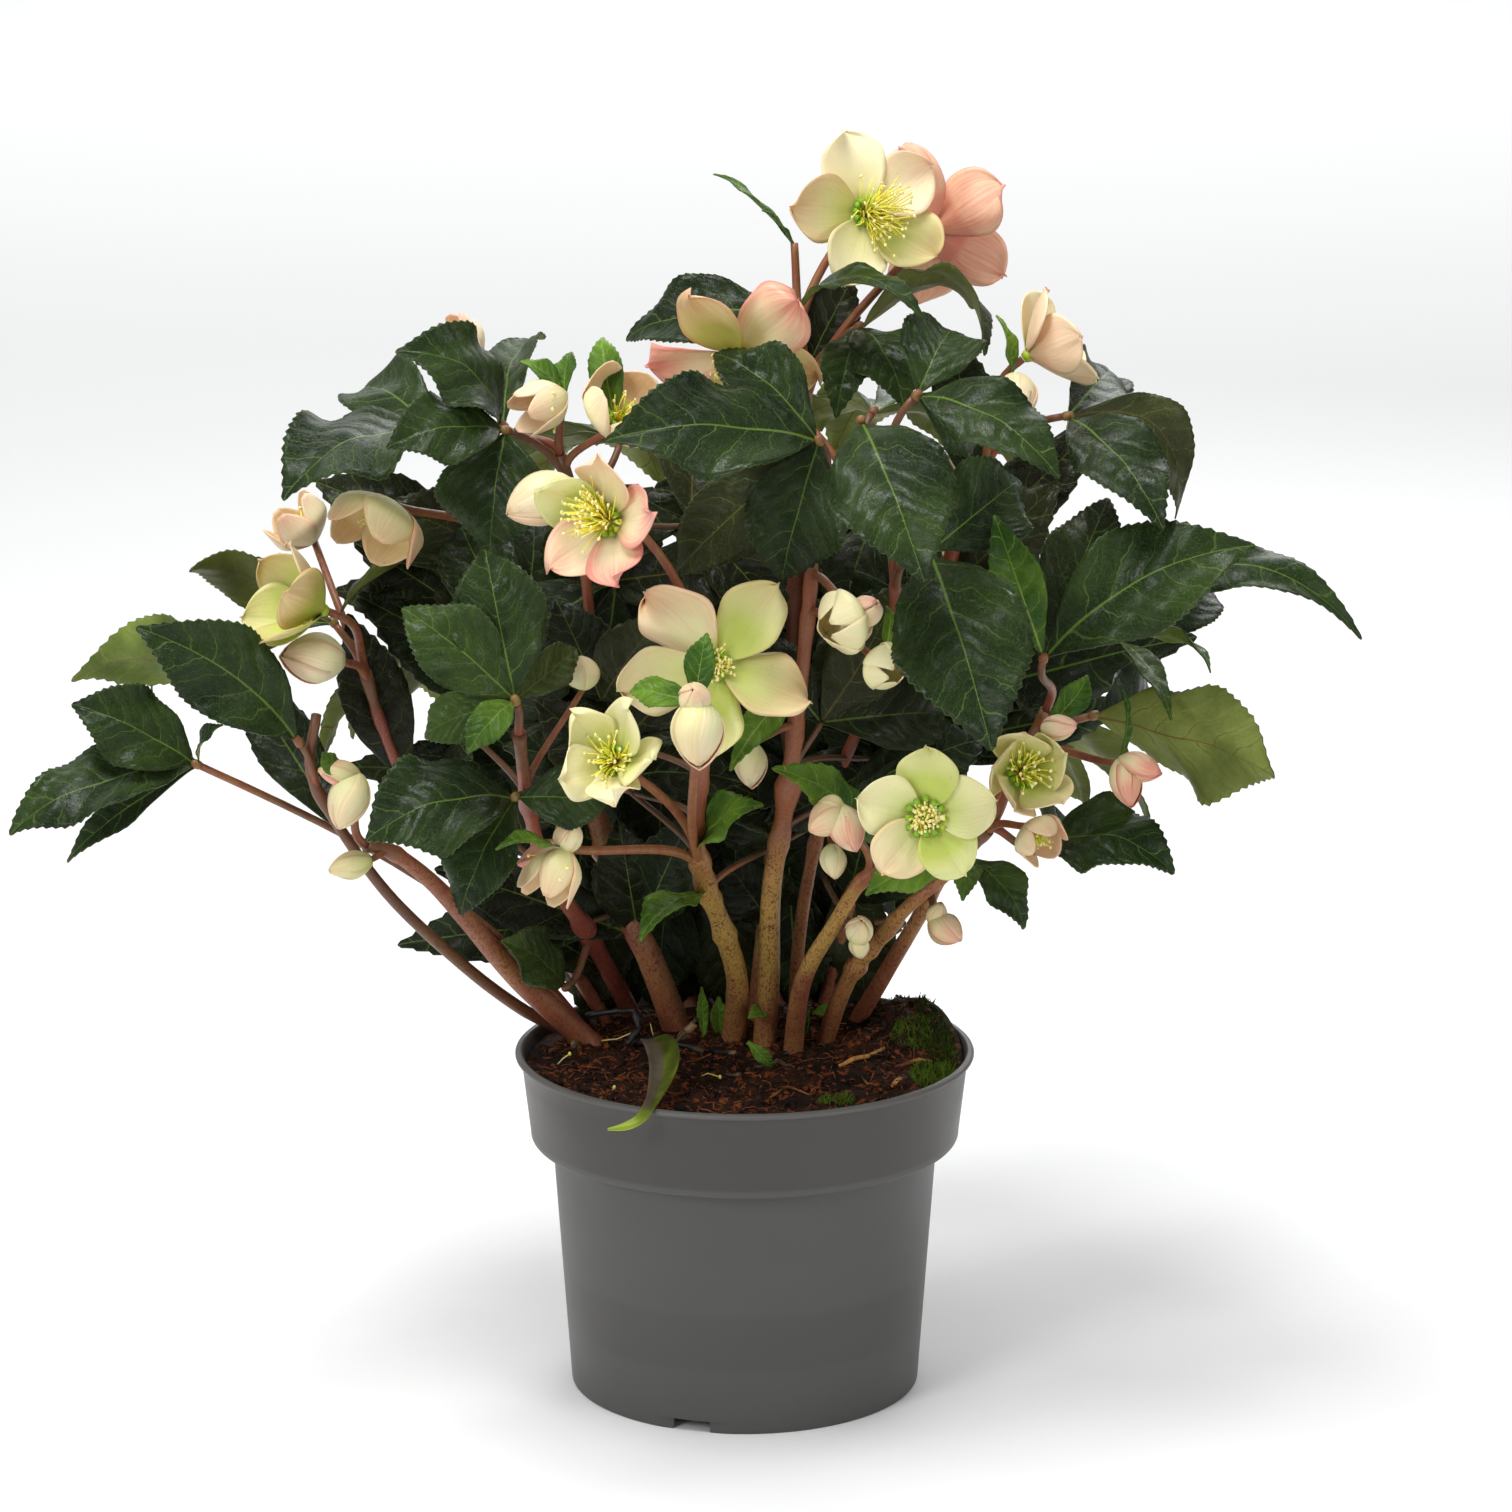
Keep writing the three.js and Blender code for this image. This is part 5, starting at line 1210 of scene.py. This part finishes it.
# ---- Buds and half-open cups ---------------------------------------------------------------
# A bud is five sepals wrapped round each other, and a cup is a flower whose sepals have only
# begun to part. They hang or stand on short twigs, greener, pinker or crimson by their age.
# Twigs: stem, share up it, end, radius, buds and cups, and for one the way it comes in. A bud
# or cup has its heading, length, width, and how pink and how green it is.
TWIGS = [
    (2, 1, (-154, -58, 272), 1.5, (("bud", (-0.3, -0.45, -0.84), 24, 15, 0.6, 0.6),
        ("bud", (-0.9, -0.3, 0.25), 17, 9, 1.1, 0.6))),
    (2, 0.92, (-150, -56, 237), 1.3, (("bud", (-0.92, -0.3, -0.2), 17, 10, 0.6, 0.9),)),
    (3, 0.97, (-160, -50, 318), 1.5, (("bud", (-0.95, -0.25, 0.1), 25, 19, 0.8, 0.3),)),
    (3, 0.9, (-176, 22, 352), 1.5, (("cup", (-0.65, -0.1, 0.75), 19, 25, 0.6, 0.3),)),
    (4, 0.9, (-67, -92, 395), 1.5, (("bud", (-0.84, -0.45, -0.3), 28, 19, 0.6, 0.3),)),
    (4, 1, (-70, -62, 426), 1.5, (("cup", (-0.8, -0.5, -0.33), 22, 19, 0.7, 0.3),)),
    (4, 0.97, (-50, -62, 414), 1.4, (("cup", (0.45, -0.5, 0.74), 19, 35, 0.5, 0.4),)),
    (5, 0.86, (-62, -78, 314), 1.2, (("bud", (-0.2, -0.3, 0.93), 13, 12, 0.5, 0.5),)),
    (6, 0.9, (-140, -36, 378), 1.6, (("cup", (-0.45, -0.5, -0.72), 22, 38, 0.8, 1.0),)),
    (6, 0.97, (-108, 10, 427), 1.6, (("cup", (-0.72, -0.2, 0.66), 21, 24, 0.7, 0.2),
        ("bud", (0.1, -0.5, -0.85), 14, 11, 1.7, 0.1))),
    (7, 0.52, (-18, -147, 322), 1.6, (("bud", (0.05, -0.45, -0.9), 26, 19, 0.5, 0.5),
        ("bud", (-0.1, -0.75, 0.65), 12, 11, 0.6, 0.5)), (0, -0.35, 0.94)),
    (7, 0.55, (-70, -98, 253), 1.7, (("cup", (-0.4, -0.35, -0.84), 23, 22, 0.5, 0.5),
        ("bud", (-0.92, -0.3, -0.25), 20, 10, 1.3, 0.2), ("bud", (0.25, -0.3, 0.92), 13, 10, 0.6, 0.5))),
    (8, 0.9, (44, -92, 344), 1.5, (("swelling", (-0.72, -0.6, -0.15), 18, 25, 0.15, 0.5),
        ("bud", (0.5, -0.7, 0.5), 15, 11, 0.8, 0.2), ("bud", (-0.1, -0.6, -0.8), 13, 11, 0.5, 0.4))),
    (8, 0.84, (52, -92, 327), 1.4, (("swelling", (0.4, -0.75, -0.2), 16, 19, 0.1, 0.4),)),
    (8, 0.66, (2, -62, 286), 1.3, (("bud", (0.05, -0.3, -0.95), 18, 12, 0.5, 0.5),)),
    (9, 0.86, (37, -100, 269), 1.4, (("bud", (-0.75, -0.45, -0.45), 16, 12, 0.9, 0.4),
        ("bud", (0.35, -0.45, -0.8), 19, 13, 1.1, 0.4), ("bud", (-0.85, -0.3, 0.4), 10, 8, 0.5, 0.6))),
    (12, 0.44, (35, -48, 240), 1.3, (("bud", (0.1, -0.5, -0.85), 13, 9, 0.6, 0.5),)),
    (10, 0.4, (46, -31, 198), 1.2, (("bud", (0.1, -0.6, 0.75), 13, 10, 0.5, 0.6),
        ("bud", (0.15, -0.4, -0.9), 9, 7, 0.5, 0.6))),
    (10, 0.98, (112, -86, 259), 1.4, (("cup", (0.5, -0.6, -0.5), 15, 20, 0.7, 0.3),)),
    (11, 0.46, (77, -24, 203), 1.5, (("bud", (0.75, -0.5, -0.42), 15, 12, 1.2, 0.5),
        ("bud", (0.3, -0.3, 0.9), 10, 7, 0.5, 0.6))),
    (11, 0.84, (148, -80, 283), 1.6, (("bud", (0.9, -0.4, -0.15), 18, 11, 1.5, 0.5),
        ("bud", (0.2, -0.5, -0.84), 19, 11, 1.5, 0.8))),
    (11, 0.94, (118, -82, 297), 1.4, (("bud", (0.8, -0.55, 0.2), 15, 9, 0.9, 0.3),)),
    (14, 1, (106, -34, 427), 1.5, (("bud", (0.2, -0.85, -0.5), 22, 14, 0.8, 0.3),)),
    (13, 0.97, (20, 6, 476), 1.6, ()),
    (15, 0.8, (-40, 138, 318), 1.5, (("bud", (0.1, 0.7, -0.7), 22, 15, 0.7, 0.4),)),
    (16, 0.96, (0, 126, 412), 1.5, (("cup", (-0.1, 0.7, 0.7), 19, 22, 0.6, 0.3),)),
]


def wrapped(shape, foot, axis, length, width, open_share, pink, green, draw):
    """Five sepals wrapped round an axis; open_share parts their tips, 0 for a tight bud."""
    right, above = flower_ways(axis)
    start, turn = foot - axis * 1.0, draw.uniform(0, math.tau)
    for i in range(5):
        centre_bearing = turn + 2 * i * math.tau / 5
        if open_share == 0:
            spread = draw.uniform(0.95, 1.2)
        else:
            spread = draw.uniform(0.68, 0.8) + 0.2 * (1 - open_share)
        tip = length * draw.uniform(0.94, 1.03)
        lean = draw.uniform(-0.06, 0.1) * open_share

        def lay(u, t):
            if open_share == 0:
                bearing = centre_bearing + u * spread + 0.6 * t
                swell = max(0, math.sin(math.pi * min(1, 0.05 + 0.95 * t) ** 0.93)) ** 0.7
                radius = 0.5 * width * swell
                radius = max(radius, 0.25) + 0.09 * i + 0.35 * u * math.sin(math.pi * t) ** 0.5
            else:
                narrow = max(0.04, math.cos(1.5 * max(0, t - 0.35) / 0.65)) ** 0.6
                bearing = centre_bearing + u * spread * narrow
                swell = math.sin(min(1, t / 0.5) * math.pi / 2) ** 0.8
                shut = 0.12 + 0.8 * (1 - open_share)
                radius = 0.5 * width * swell * (1 - (shut - lean) * max(0, t - 0.5) / 0.5)
                radius = max(radius, 0.6) + 0.5 * u * math.sin(math.pi * t) ** 0.5
            out = right * math.cos(bearing) + above * math.sin(bearing)
            place = start + axis * tip * t + out * radius
            return place * MM, (u / 2 + 0.5, 0.25 + 0.75 * t)

        blushed = pink * draw.uniform(0.6, 1.25)
        marked(shape, sheet(shape, 8, 12, lay), pink=blushed, green=green * draw.uniform(0.5, 1.3))


OPEN = {"bud": 0, "swelling": 0.3, "cup": 1}
CUP_STAMENS = 26
draw = random.Random(8)
bud_shapes = {}
hearts = new_shape("ripe")
for stem, share, end, radius, items, *way in TWIGS:
    end = Vector(end)
    heading = (Vector(way[0]) if way else end - curves[stem].at(share)).normalized()
    stalks.append((stem, share, end, heading, radius, 0))
    for kind, toward, length, width, pink, green in items:
        shape = bud_shapes.setdefault(stem, new_shape("pink", "green"))
        axis = Vector(toward).normalized()
        wrapped(shape, end, axis, length, width, OPEN[kind], pink, green, draw)
        if kind == "cup":
            heart_of_flower(hearts, end + axis * 2, axis, length * 0.6, 3, draw, CUP_STAMENS)
for stem, shape in bud_shapes.items():
    bmesh.ops.reverse_faces(shape, faces=shape.faces)
    name = stem_name(stem)
    thicken(piece(name + "_buds", shape, [petal_outer, petal_inner], "petal", name), PETAL)
cup_stems = sorted({row[0] for row in TWIGS if any(item[0] == "cup" for item in row[4])})
piece("cup_stamens", hearts, [stamen_yellow], "stamen", *map(stem_name, cup_stems))

# ---- Stem skins ----------------------------------------------------------------------------
# The trunks of the stems and the thin stalks that leave them are one fleshy growth, swollen
# where a stalk leaves. They stand in the compost, and each stalk carries a leaf or a flower.
stem_skin, tree, shader = material("stem_skin", coat_weight=0.08, coat_roughness=0.3)
place = object_place(tree)
red, olive, young, dark = (mark(tree, one) for one in ("red", "olive", "young", "dark"))
flow = noise(tree, object_place(tree, (1, 1, 0.3)), 230, detail=4, roughness=0.65)
clouds = noise(tree, place, 26, detail=3)
colour = mix(tree, clouds, shade(112, 70, 46), shade(158, 110, 68))
colour = mix(tree, red, colour, mix(tree, clouds, shade(116, 42, 40), shade(166, 82, 70)))
green = times(tree, olive, between(tree, clouds, 0.3, 0.55))
colour = mix(tree, green, colour, shade(182, 150, 74))
# Dark mottles, redder low down and browner high up, with pale flecks on the red stems.
specks = noise(tree, object_place(tree, (1, 1, 0.55)), 1150, detail=2, roughness=0.6)
mottle = times(tree, between(tree, specks, 0.5, 0.58), between(tree, flow, 0.36, 0.6, 0.45, 0.95))
mottle = times(tree, mottle, between(tree, red, 0.5, 0.9, 1, 0.25))
colour = mix(tree, mottle, colour, shade(104, 46, 30))
height = split(tree, place)[2]
low = mix(tree, clouds, shade(106, 44, 34), shade(156, 80, 64))
colour = mix(tree, between(tree, height, 0.19, 0.145, 0, 0.55), colour, low)
high = mix(tree, clouds, shade(112, 50, 34), shade(156, 82, 54))
colour = mix(tree, between(tree, height, 0.2, 0.26, 0, 0.85), colour, high)
pale = times(tree, between(tree, specks, 0.44, 0.38), between(tree, red, 0.4, 0.9, 0, 0.45))
colour = mix(tree, pale, colour, shade(176, 116, 96))
fresh = mix(tree, between(tree, flow, 0.4, 0.65), shade(124, 116, 52), shade(120, 62, 40))
colour = mix(tree, young, colour, fresh)
dusky = mix(tree, clouds, shade(46, 32, 22), shade(82, 66, 38))
colour = mix(tree, times(tree, dark, 0.8), colour, dusky)
coat(tree, shader, colour, flow, 0.25, 0.0004, between(tree, flow, 0.3, 0.7, 0.42, 0.56))

TRUNK_RINGS = 46
OTHER_TINT = (0.2, 0.2)
DARK_STEM = 1
DARK_TINT = 0.75
SWELLING = 0.3
SWELLING_REACH = 0.018
for number, (foot_radius, head_radius, _, _) in STEMS.items():
    curve = curves[number]
    red, olive = STEM_TINTS.get(number, OTHER_TINT)
    shape = new_shape("red", "olive", "young", "dark")
    nodes = sorted({row[1] for row in stalks if row[0] == number})
    points, radii = [], []
    for i in range(TRUNK_RINGS + 1):
        share = i / TRUNK_RINGS
        swelling = sum(SWELLING * math.exp(-((share - spot) / SWELLING_REACH) ** 2) for spot in nodes)
        points.append(curve.at(share))
        radii.append((foot_radius + (head_radius - foot_radius) * share) * (1 + swelling))
    rod(shape, points, radii, STEM_SIDES, red=red, olive=olive, young=0.0,
        dark=DARK_TINT if number == DARK_STEM else 0)
    for stem, share, end, heading, radius, dark in stalks:
        if stem == number:
            points = stalk_points(stem, share, end, heading)
            radii = [radius * (1.25 - 0.25 * i / STALK_STEPS) for i in range(STALK_STEPS + 1)]
            rod(shape, points, radii, STALK_SIDES,
                red=0.35 + red * 0.5, olive=olive * 0.3, young=0.3, dark=dark)
    name = stem_name(number)
    piece(name + "_skin", shape, [stem_skin], "stem", name)
piece("leaf_hubs", hubs, [stem_skin], "stem", *leaf_names)

# ---- Moss ----------------------------------------------------------------------------------
# Moss grows on the compost where it rises against the wall at the right, dark and thin at the
# back and in bright tufts further forward. Each shoot is a short leafy point.
MOSS_PATCHES = [  # middle, reach in x and y, shoots, tallest shoot, brightness
    ((80, 30), (8, 38), 1100, 4.2, 0.16), ((60, 52), (24, 22), 600, 2.6, 0.06),
    ((77, -24), (9, 14), 620, 4.4, 1.0), ((70, 15), (9, 12), 460, 3.6, 0.8),
    ((37, -57), (8, 8), 260, 3.6, 0.9), ((84, -2), (4, 20), 320, 3.2, 0.6),
    ((-40, 70), (30, 9), 160, 2.0, 0.1),
]
MOSS_LIMIT = 88.5
MOSS_RADIUS = 0.42
moss_green, tree, shader = material("moss", roughness=0.8, specular_ior_level=0.2)
bright, tips = mark(tree, "bright"), mark(tree, "tip")
patches = noise(tree, object_place(tree), 260, detail=3)
colour = mix(tree, bright, shade(22, 28, 10), shade(66, 98, 20))
tips = times(tree, tips, between(tree, bright, 0, 1, 0.15, 0.6))
colour = mix(tree, tips, colour, shade(128, 158, 46))
colour = mix(tree, between(tree, patches, 0.45, 0.7, 0, 0.6), colour, shade(44, 34, 16))
coat(tree, shader, colour, patches, 0.4, 0.0003)
draw = random.Random(31)
shape = new_shape("bright", "tip")
for middle, reach, count, tallest, brightness in MOSS_PATCHES:
    for _ in range(count):
        bearing, away = draw.uniform(0, math.tau), math.sqrt(draw.random())
        x = middle[0] + reach[0] * away * math.cos(bearing)
        y = middle[1] + reach[1] * away * math.sin(bearing)
        if math.hypot(x, y) > MOSS_LIMIT:
            continue
        foot = Vector((x, y, rough_height(x, y) - 0.3))
        lean = Vector((draw.uniform(-0.7, 0.7), draw.uniform(-0.8, 0.5), 1)).normalized()
        height, glow = tallest * draw.uniform(0.35, 1), brightness * draw.uniform(0.5, 1.1)
        made = bmesh.ops.create_cone(shape, segments=3, radius1=MOSS_RADIUS * MM, radius2=0,
                                     depth=height * MM)["verts"]
        turn = lean.to_track_quat("Z", "Y").to_matrix() @ Matrix.Rotation(bearing, 3, "Z")
        marked(shape, made, bright=glow, tip=0)
        marked(shape, [vert for vert in made if vert.co.z > 0], tip=1)
        for vert in made:
            vert.co = turn @ vert.co + (foot + lean * height / 2) * MM
piece("moss", shape, [moss_green], "potting_soil", "soil", smooth=False)

# ---- Litter --------------------------------------------------------------------------------
# Slivers of bark, bits of straw and a wood chip, all flat dry splinters, lie loose on the
# compost.
bark, tree, shader = material("bark", roughness=0.8, specular_ior_level=0.3)
streaks = noise(tree, object_place(tree), 420, detail=4)
colour = mix(tree, mark(tree, "warm"), shade(110, 50, 22), shade(206, 152, 84))
colour = mix(tree, between(tree, streaks, 0.4, 0.7, 0, 0.6), colour, shade(64, 34, 20))
coat(tree, shader, colour, streaks, 0.6, 0.0003)
SLIVERS = 420
SLIVER_REACH = 84
STRAWS = [  # ends, half its width, how pale
    ((39, -13), (58, 2), 1.5, 1.1), ((62, -14), (77, -8), 1.1, 0.7), ((-68, 6), (-70, 16), 1.5, 0.5),
    ((60, -40), (64, -32), 1.7, 1.0), ((8, -62), (16, -44), 0.7, 0.35), ((14, -40), (26, -50), 0.6, 0.3),
    ((-4, -70), (2, -66), 1.0, 0.5), ((-24, -8), (-14, 2), 0.7, 0.3), ((48, -28), (54, -40), 0.8, 0.5),
]
shape = new_shape("warm")


def sliver(start, end, half, pale, thick):
    """A flat splinter lying on the compost between two points of it."""
    points = []
    for i in range(4):
        x = start[0] + (end[0] - start[0]) * i / 3
        y = start[1] + (end[1] - start[1]) * i / 3
        points.append(Vector((x, y, rough_height(x, y) + thick + 0.3)))
    rod(shape, points, [half * 0.7, half, half, half * 0.6], 4, warm=pale)


for start, end, half, pale in STRAWS:
    sliver(start, end, half * 0.8, pale, 0.7)
for _ in range(SLIVERS):
    start = scattered(SLIVER_REACH)
    turn, length = draw.uniform(0, math.tau), draw.uniform(1.2, 5)
    end = (start[0] + length * math.cos(turn), start[1] + length * math.sin(turn))
    if math.hypot(*end) < SOIL_LIMIT:
        sliver(start, end, draw.uniform(0.15, 0.5), draw.uniform(0, 0.4) ** 1.5, 0.2)
piece("bark_slivers", shape, [bark], "potting_soil", "soil")

# ---- Fallen stamens ------------------------------------------------------------------------
# A few shed stamens, white threads with a yellow head, lie curled on the compost. They have
# dropped from the flowers, and nothing holds them.
FALLEN = [  # the end with the head, and three places with their heights over the compost
    (2, ((-77, -12, 1), (-75, -12, 3.5), (-72, -12, 5.5))),
    (2, ((-19, -30, 0.8), (-15, -29, 3), (-10, -30, 1))),
    (0, ((-38, 24, 0.5), (-39, 24, 3.5), (-39.5, 24, 6.5))),
    (2, ((-47, 20, 4.5), (-53, 19, 1.5), (-61, 20, 0.8))),
    (2, ((-54, -44, 0.5), (-53.5, -44, 2), (-52.8, -44, 3))),
    (2, ((12, -6, 0.8), (13.5, -6, 2), (14.5, -6.5, 1))),
]
HEAD_UP = Vector((0, 0, 0.8))
shape = new_shape("ripe")
for tip_end, path in FALLEN:
    ground = rough_height(*path[0][:2])
    points = [Vector((x, y, ground + z)) for x, y, z in path]
    middle = (points[0] + points[2]) / 2 * 0.3 + points[1] * 0.7
    rod(shape, [points[0], middle, points[2]], [0.28, 0.26, 0.22], 5, ripe=0.05)
    head = points[tip_end]
    rod(shape, [head - HEAD_UP, head, head + HEAD_UP], [0.5, 0.75, 0.4], 6, ripe=0.6)
piece("fallen_stamens", shape, [stamen_yellow], "stamen", "soil")

# ---- Young shoots and shed leaves ----------------------------------------------------------
# Pale shoots break through at the crown, with papery sheaths round them. A few small leaves
# have dropped on the compost, and a wilted one hangs over the lip of the pot.
SHOOTS = [  # foot, tip, width, arch, how young, how faded
    ((-17, 27, 138), (-18, 25, 161), 5, 1, 1.2, 0.0), ((-10, 27, 138), (-11, 22, 158), 8, 3, 1.2, 0.0),
    ((-4, 30, 138), (-3, 30, 172), 9, 3, 1.2, 0.0), ((20, 12, 137), (27, 10, 156), 5, 2, 1.2, 0.2),
    ((1, -20, 151), (12, -22, 140), 6, 3, 1.1, 0.0), ((28, 38, 146), (39, 36, 149), 5, 1, 1.2, 0.0),
    ((18, 14, 137), (25, 12, 152), 4, 3, 0.6, 0.8),
]
THIN_BLADE = 0.4
shape = new_shape(*LEAF_MARKS)
for i, (foot, tip, width, arch, young, faded) in enumerate(SHOOTS):
    leaflet(shape, foot, tip, width, arch, FRONT, i, young, faded, across=8, teeth=8)
thicken(piece("young_shoots", shape, [leaf_top, leaf_under], "leaf", "soil"), THIN_BLADE)

wilted, tree, shader = material("wilted", roughness=0.4, specular_ior_level=0.4)
flat = split(tree, node(tree, "ShaderNodeUVMap").outputs[0])
clouds = noise(tree, object_place(tree), 70, detail=4)
colour = mix(tree, between(tree, clouds, 0.35, 0.65), shade(64, 74, 22), shade(112, 128, 40))
papery = times(tree, between(tree, flat[0], 0.4, 0.62), between(tree, flat[1], 0.72, 0.6))
dry = mix(tree, clouds, shade(58, 44, 36), shade(132, 118, 104))
colour = mix(tree, times(tree, papery, 0.9), colour, dry)
colour = mix(tree, between(tree, flat[1], 0.7, 0.85), colour, shade(150, 172, 46))
coat(tree, shader, colour, clouds, 0.5, 0.0008)
WILTED = [  # places down the middle of the wilted leaf, and half its width there
    ((-40, -6, 146), 1.2), ((-38, -14, 150), 5.0), ((-34, -28, 151), 6.6), ((-32, -44, 148), 6.2),
    ((-34, -60, 144), 4.4), ((-36, -76, 143.5), 2.8), ((-38, -88, 143.5), 2.2), ((-41, -96, 141.0), 2.2),
    ((-47, -97.5, 138.5), 2.2), ((-54, -97.5, 138), 0.5),
]
SMOOTHINGS = 2
line = [(Vector(place), half) for place, half in WILTED]


def part_way(first, second, part):
    """The place and half width at a part of the way between two rows."""
    return first[0].lerp(second[0], part), first[1] + (second[1] - first[1]) * part


for _ in range(SMOOTHINGS):
    finer = [part_way(*pair, part) for pair in zip(line, line[1:]) for part in (0.25, 0.75)]
    line = [line[0], *finer, line[-1]]
shape = bmesh.new()


def wilt(u, t):
    """The wilted leaf: a strip whose sides curl down round its middle line."""
    spot = t * (len(line) - 1)
    i = min(int(spot), len(line) - 2)
    middle, half = part_way(line[i], line[i + 1], spot - i)
    way = (line[i + 1][0] - line[i][0]).normalized()
    side = way.cross(Vector((0, -0.5, 1))).normalized()
    fall = side.cross(way)
    curl = 0.45 * u * u + 0.12 * math.sin(9 * t + 2 * u)
    return (middle + side * (u * half) + fall * (curl * half)) * MM, (u / 2 + 0.5, t)


sheet(shape, 8, 54, wilt)
thicken(piece("wilted_leaf", shape, [wilted, wilted], "leaf", "soil"), THIN_BLADE)

# ---- Withered stalks -----------------------------------------------------------------------
# Last year's leaf stalks have rotted off at the crown. They lie loose between the stems, black
# and curled, with a dry brown husk.
withered, tree, shader = material("withered", roughness=0.5, specular_ior_level=0.5)
clouds = noise(tree, object_place(tree), 200, detail=4)
colour = mix(tree, mark(tree, "dry"), shade(20, 14, 14), shade(158, 126, 84))
colour = mix(tree, between(tree, clouds, 0.45, 0.7, 0, 0.6), colour, shade(44, 30, 24))
coat(tree, shader, colour, clouds, 0.7, 0.0006)
WITHERED = [  # a way through points, its radius and how dry and pale it is
    (((-66, 20, 150), (-56, 16, 153), (-46, 16, 154), (-44, 12, 147), (-49, 8, 141)), 1.6, 0.0),
    (((-46, 14, 140), (-36, 10, 143), (-26, 8, 141), (-17, 4, 139)), 1.8, 0.0),
    (((-34, 4, 139), (-24, 12, 146), (-20, 16, 150)), 1.4, 0.25),
    (((-14, 6, 139), (-4, -2, 140)), 1.6, 0.05),
    (((-27, 14, 142), (-24, 12, 146), (-21, 12, 149)), 2.0, 0.75),
    (((16, 4, 138), (22, 6, 141), (24, 8, 148)), 0.9, 0.8),
    (((-70, 14, 139), (-71, 8, 142), (-71, 4, 141)), 1.7, 0.55),
    (((-8, -28, 139), (-2, -34, 141)), 1.0, 0.2),
    (((4, -14, 138), (14, -12, 140), (20, -16, 138)), 1.3, 0.3),
]
shape = new_shape("dry")
for way, radius, pale in WITHERED:
    points = [Vector(point) for point in way]
    steps = []
    for a, b in zip(points, points[1:]):
        steps += [a.lerp(b, i / 4) + Vector((0, 0, draw.uniform(-0.4, 0.4))) for i in range(4)]
    steps.append(points[-1])
    radii = [radius * draw.uniform(0.55, 1.15) for _ in steps]
    rod(shape, steps, radii, 8, dry=pale)
piece("withered_stalks", shape, [withered], "stem", "soil")
